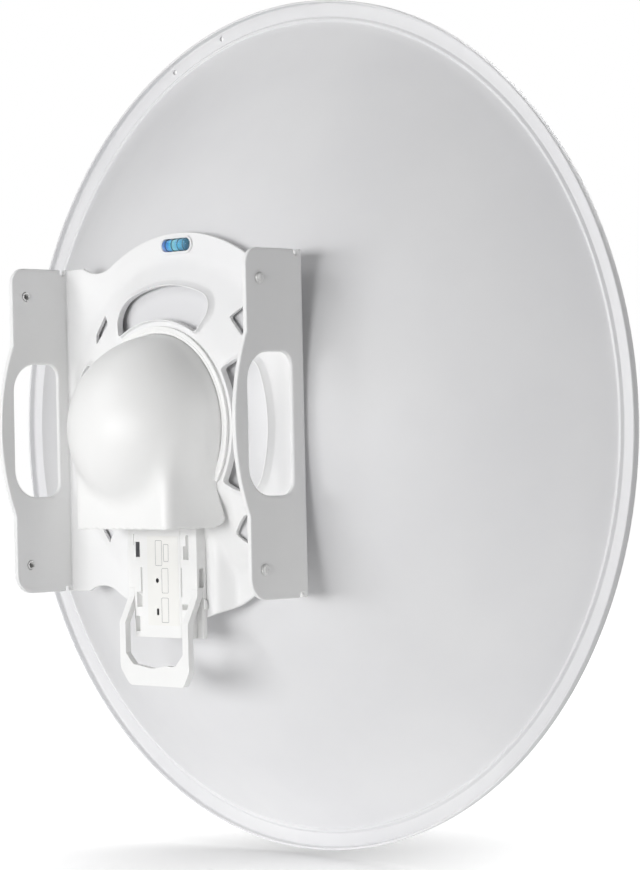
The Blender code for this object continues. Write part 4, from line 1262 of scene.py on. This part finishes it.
def bare_metal(name, colour, rough_low, rough_high, scale):
    """Bright steel with turning marks and light wear."""
    finish, shader = new_finish(name)
    tree = finish.node_tree
    coords = tree.nodes.new("ShaderNodeTexCoord")
    marks = noise(tree, coords, scale, 4.0)
    darker = tuple(c * 0.8 for c in colour)
    tone = tone_ramp(tree, marks.outputs["Fac"], darker, colour)
    tree.links.new(tone, shader.inputs["Base Color"])
    rough = spread(tree, marks.outputs["Fac"], rough_low, rough_high)
    tree.links.new(rough, shader.inputs["Roughness"])
    bump(tree, shader, marks.outputs["Fac"], 0.3, 0.00005)
    shader.inputs["Metallic"].default_value = 0.6
    return finish


def make_finishes():
    """Every finish of the antenna, by the record's slot."""
    finishes = {}
    white = (0.86, 0.86, 0.855)
    finishes["reflector_white"] = powder_coat(
        "reflector_paint", (0.73, 0.73, 0.742), (0.76, 0.76, 0.768), 0.42, 0.5, 700.0, 0.00008
    )
    finishes["bracket_white"] = powder_coat(
        "bracket_paint", (0.83, 0.83, 0.835), white, 0.4, 0.48, 850.0, 0.00007
    )
    finishes["housing_white"] = powder_coat(
        "housing_plastic", (0.87, 0.87, 0.862), (0.89, 0.89, 0.882), 0.36, 0.44, 1500.0, 0.00004
    )
    finishes["bright_steel"] = bare_metal("turned_steel", (0.86, 0.86, 0.85), 0.4, 0.5, 900.0)
    finishes["level_blue"] = level_liquid()
    finishes["level_clear"] = level_glass()
    finishes["level_ring"] = powder_coat(
        "level_ring", (0.06, 0.12, 0.16), (0.12, 0.2, 0.25), 0.3, 0.4, 900.0, 0.00001
    )
    finishes["seal_grey"] = powder_coat(
        "seal_rubber", (0.18, 0.18, 0.19), (0.24, 0.24, 0.25), 0.6, 0.75, 1200.0, 0.00006
    )
    finishes["port_dark"] = powder_coat(
        "port_dark", (0.24, 0.24, 0.25), (0.3, 0.3, 0.32), 0.5, 0.7, 900.0, 0.00004
    )
    finishes["panel_blank"] = powder_coat(
        "panel_blank", (0.86, 0.855, 0.83), (0.88, 0.875, 0.85), 0.45, 0.55, 1800.0, 0.00002
    )
    finishes["panel_line"] = powder_coat(
        "panel_line", (0.33, 0.33, 0.34), (0.42, 0.42, 0.43), 0.5, 0.6, 1800.0, 0.00001
    )
    return finishes


def level_liquid():
    """Bright blue liquid with painted light: a pale painted highlight at one end, violet-blue, and
    cyan round the bubble, partly its paler tone and partly painted light.
    """
    finish, shader = new_finish("level_liquid")
    tree = finish.node_tree
    coords = tree.nodes.new("ShaderNodeTexCoord")
    centred = tree.nodes.new("ShaderNodeMapping")
    centred.vector_type = "TEXTURE"
    middle = DISH_AXIS + Vector((0.0, VIAL_Y, LEVEL_Z))
    centred.inputs["Location"].default_value = middle
    tree.links.new(coords.outputs["Object"], centred.inputs["Vector"])
    parts = tree.nodes.new("ShaderNodeSeparateXYZ")
    tree.links.new(centred.outputs["Vector"], parts.inputs["Vector"])
    along = spread(tree, parts.outputs["X"], 0.0, 1.0, -15.0 * MM, 10.0 * MM)
    ramp = tree.nodes.new("ShaderNodeValToRGB")
    # Colour along the vial: a pale painted highlight at the near end, deeper violet-blue, then
    # bright cyan at the bubble that is partly painted light
    tones_and_painted_light = (
        (0.0, (0.55, 0.72, 0.98)),
        (0.22, (0.16, 0.36, 0.95)),
        (0.42, (0.12, 0.62, 0.98)),
        (0.56, (0.42, 0.90, 1.0)),
        (0.74, (0.14, 0.66, 0.98)),
        (1.0, (0.22, 0.62, 0.92)),
    )
    ends = ramp.color_ramp.elements
    ends[0].position, ends[0].color = tones_and_painted_light[0][0], (*tones_and_painted_light[0][1], 1.0)
    ends[1].position, ends[1].color = tones_and_painted_light[-1][0], (*tones_and_painted_light[-1][1], 1.0)
    for position, colour in tones_and_painted_light[1:-1]:
        ends.new(position).color = (*colour, 1.0)
    tree.links.new(along, ramp.inputs["Fac"])
    swirl = noise(tree, coords, 420.0, 3.0)
    mix = tree.nodes.new("ShaderNodeMix")
    mix.data_type = "RGBA"
    mix.blend_type = "OVERLAY"
    mix.inputs["Factor"].default_value = 0.35
    tree.links.new(ramp.outputs["Color"], mix.inputs["A"])
    tree.links.new(swirl.outputs["Color"], mix.inputs["B"])
    tree.links.new(mix.outputs["Result"], shader.inputs["Base Color"])
    shader.inputs["Roughness"].default_value = 0.12
    shader.inputs["Coat Weight"].default_value = 0.6
    return finish


def level_glass():
    """Clear capsule glass with faint streaks in its gloss."""
    finish, shader = new_finish("level_glass")
    tree = finish.node_tree
    coords = tree.nodes.new("ShaderNodeTexCoord")
    streak = noise(tree, coords, 350.0, 2.0)
    tree.links.new(
        spread(tree, streak.outputs["Fac"], 0.0, 0.05), shader.inputs["Roughness"]
    )
    bump(tree, shader, streak.outputs["Fac"], 0.1, 0.00002)
    shader.inputs["Base Color"].default_value = (0.93, 0.98, 1.0, 1.0)
    shader.inputs["Transmission Weight"].default_value = 1.0
    shader.inputs["IOR"].default_value = 1.3
    return finish


def dress_frame_nodes(finishes):
    """Gives every node that stays its finish, by the name of the material it carries."""
    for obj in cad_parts.values():
        for slot in obj.material_slots:
            for key, finish in finishes.items():
                if slot.material and key in slot.material.name:
                    slot.material = finish


def place_camera():
    data = bpy.data.cameras.new("camera")
    data.lens = CAMERA_LENS
    data.sensor_width = 36.0
    data.clip_start = 0.05
    data.clip_end = 40.0
    camera = bpy.data.objects.new("camera", data)
    bpy.context.scene.collection.objects.link(camera)
    back = (CAMERA_PLACE - CAMERA_TARGET).normalized()
    right = Vector((0.0, 0.0, 1.0)).cross(back).normalized()
    up = back.cross(right)
    frame_turn = Matrix((right, up, back)).transposed()
    roll = Matrix.Rotation(math.radians(CAMERA_ROLL), 3, "Z")
    camera.matrix_world = (frame_turn @ roll).to_4x4()
    camera.location = CAMERA_PLACE
    bpy.context.scene.camera = camera


def softbox(name, azimuth, elevation, distance, width, height, power):
    """An area light aimed at the antenna; azimuth 0 is straight behind the plate."""
    a = math.radians(azimuth)
    e = math.radians(elevation)
    target = DISH_AXIS + Vector((0.0, -0.08, 0.0))
    back = Vector((math.sin(a) * math.cos(e), -math.cos(a) * math.cos(e), math.sin(e)))
    place = target + back * distance
    data = bpy.data.lights.new(name, "AREA")
    data.shape = "RECTANGLE"
    data.size = width
    data.size_y = height
    data.energy = power
    light = bpy.data.objects.new(name, data)
    bpy.context.scene.collection.objects.link(light)
    light.location = place
    light.rotation_euler = (-back).to_track_quat("-Z", "Y").to_euler()


def light_studio():
    """A soft key from behind the plate, more softboxes round it, and a weak fill all round; the
    camera sees the world white.
    """
    world = bpy.data.worlds.new("studio")
    bpy.context.scene.world = world
    world.use_nodes = True
    tree = world.node_tree
    tree.nodes.clear()
    output = tree.nodes.new("ShaderNodeOutputWorld")
    seen = tree.nodes.new("ShaderNodeBackground")
    seen.inputs["Color"].default_value = (1.0, 1.0, 1.0, 1.0)
    seen.inputs["Strength"].default_value = 1.0
    fill = tree.nodes.new("ShaderNodeBackground")
    fill.inputs["Color"].default_value = (0.93, 0.94, 1.0, 1.0)
    fill.inputs["Strength"].default_value = 0.02
    path = tree.nodes.new("ShaderNodeLightPath")
    mix = tree.nodes.new("ShaderNodeMixShader")
    tree.links.new(path.outputs["Is Camera Ray"], mix.inputs["Fac"])
    tree.links.new(fill.outputs["Background"], mix.inputs[1])
    tree.links.new(seen.outputs["Background"], mix.inputs[2])
    tree.links.new(mix.outputs["Shader"], output.inputs["Surface"])

    softbox("key", 0.0, 2.0, 3.0, 2.4, 0.9, 62.0)
    softbox("upper_left", -35.0, 35.0, 3.0, 1.5, 1.5, 23.0)
    softbox("right", 95.0, 15.0, 3.0, 2.0, 2.0, 20.0)
    softbox("top_left", -90.0, 60.0, 3.0, 2.0, 2.0, 15.0)
    softbox("front", 180.0, 35.0, 3.0, 2.0, 2.0, 80.0)


def round_patch(tree, coords, reach):
    """1 under the dish's rim, falling to 0 at a distance on the floor."""
    centred = tree.nodes.new("ShaderNodeMapping")
    centred.vector_type = "TEXTURE"
    centred.inputs["Location"].default_value = (DISH_AXIS.x, DISH_AXIS.y, FLOOR_Z)
    centred.inputs["Scale"].default_value = (reach, reach, reach)
    tree.links.new(coords.outputs["Object"], centred.inputs["Vector"])
    ball = tree.nodes.new("ShaderNodeTexGradient")
    ball.gradient_type = "SPHERICAL"
    tree.links.new(centred.outputs["Vector"], ball.inputs["Vector"])
    return ball.outputs["Fac"]


def lay_floor():
    bm = bmesh.new()
    bmesh.ops.create_grid(bm, x_segments=1, y_segments=1, size=30.0)
    bmesh.ops.translate(bm, verts=bm.verts, vec=(0.0, 0.0, FLOOR_Z))
    mesh = bpy.data.meshes.new("floor")
    bm.to_mesh(mesh)
    bm.free()
    floor = bpy.data.objects.new("floor", mesh)
    bpy.context.scene.collection.objects.link(floor)
    finish, shader = new_finish("floor_white")
    shader.inputs["Base Color"].default_value = (0.6, 0.6, 0.6, 1.0)
    shader.inputs["Roughness"].default_value = 0.35
    tree = finish.node_tree
    coords = tree.nodes.new("ShaderNodeTexCoord")
    # Seen by the camera: white, with a painted shade (lower emission) under the dish's rim
    seen = spread(tree, round_patch(tree, coords, PAINTED_SHADE_REACH), FLOOR_WHITE, FLOOR_PAINTED_SHADE, 0.0, 1.0)
    given = spread(tree, round_patch(tree, coords, BOUNCE_REACH), 0.0, FLOOR_BOUNCE, 0.0, 1.0)
    path = tree.nodes.new("ShaderNodeLightPath")
    mix = tree.nodes.new("ShaderNodeMix")
    tree.links.new(path.outputs["Is Camera Ray"], mix.inputs["Factor"])
    tree.links.new(given, mix.inputs["A"])
    tree.links.new(seen, mix.inputs["B"])
    shader.inputs["Emission Color"].default_value = (1.0, 1.0, 1.0, 1.0)
    tree.links.new(mix.outputs["Result"], shader.inputs["Emission Strength"])
    mesh.materials.append(finish)


def main():
    bpy.context.scene.view_settings.view_transform = "Standard"
    finishes = make_finishes()
    place_camera()
    light_studio()
    lay_floor()
    reflector_dish(finishes["reflector_white"])
    bracket_sheet(finishes["bracket_white"])
    rear_housing_shell(finishes["housing_white"])
    housing_ring(finishes["housing_white"])
    plastic = finishes["housing_white"]
    port_unit(plastic, finishes["port_dark"])
    port_panel(plastic, finishes["panel_blank"], finishes["panel_line"])
    pull_grip(plastic)
    softened("dome_catch", "housing_tab", 0.9 * MM, plastic, 3)
    for side, side_name in ((-1, "left"), (1, "right")):
        node = f"block_latch_{side_name}"
        softened(f"side_hook_{side_name}", node, 0.3 * MM, plastic)
        for end, end_name in ((1, "top"), (-1, "bottom")):
            node = f"ear_insert_{side_name}_{end_name}"
            name = f"ear_rivet_{side_name}_{end_name}"
            ear_rivet(name, node, side, end, finishes["bright_steel"])
    bubble_level(
        finishes["level_blue"], finishes["level_clear"], finishes["level_ring"],
        finishes["bracket_white"],
    )
    feed_pieces(finishes)
    for number in (1, 2, 3, 4):
        foot_screw(number, finishes["bright_steel"])
    dress_frame_nodes(finishes)


main()
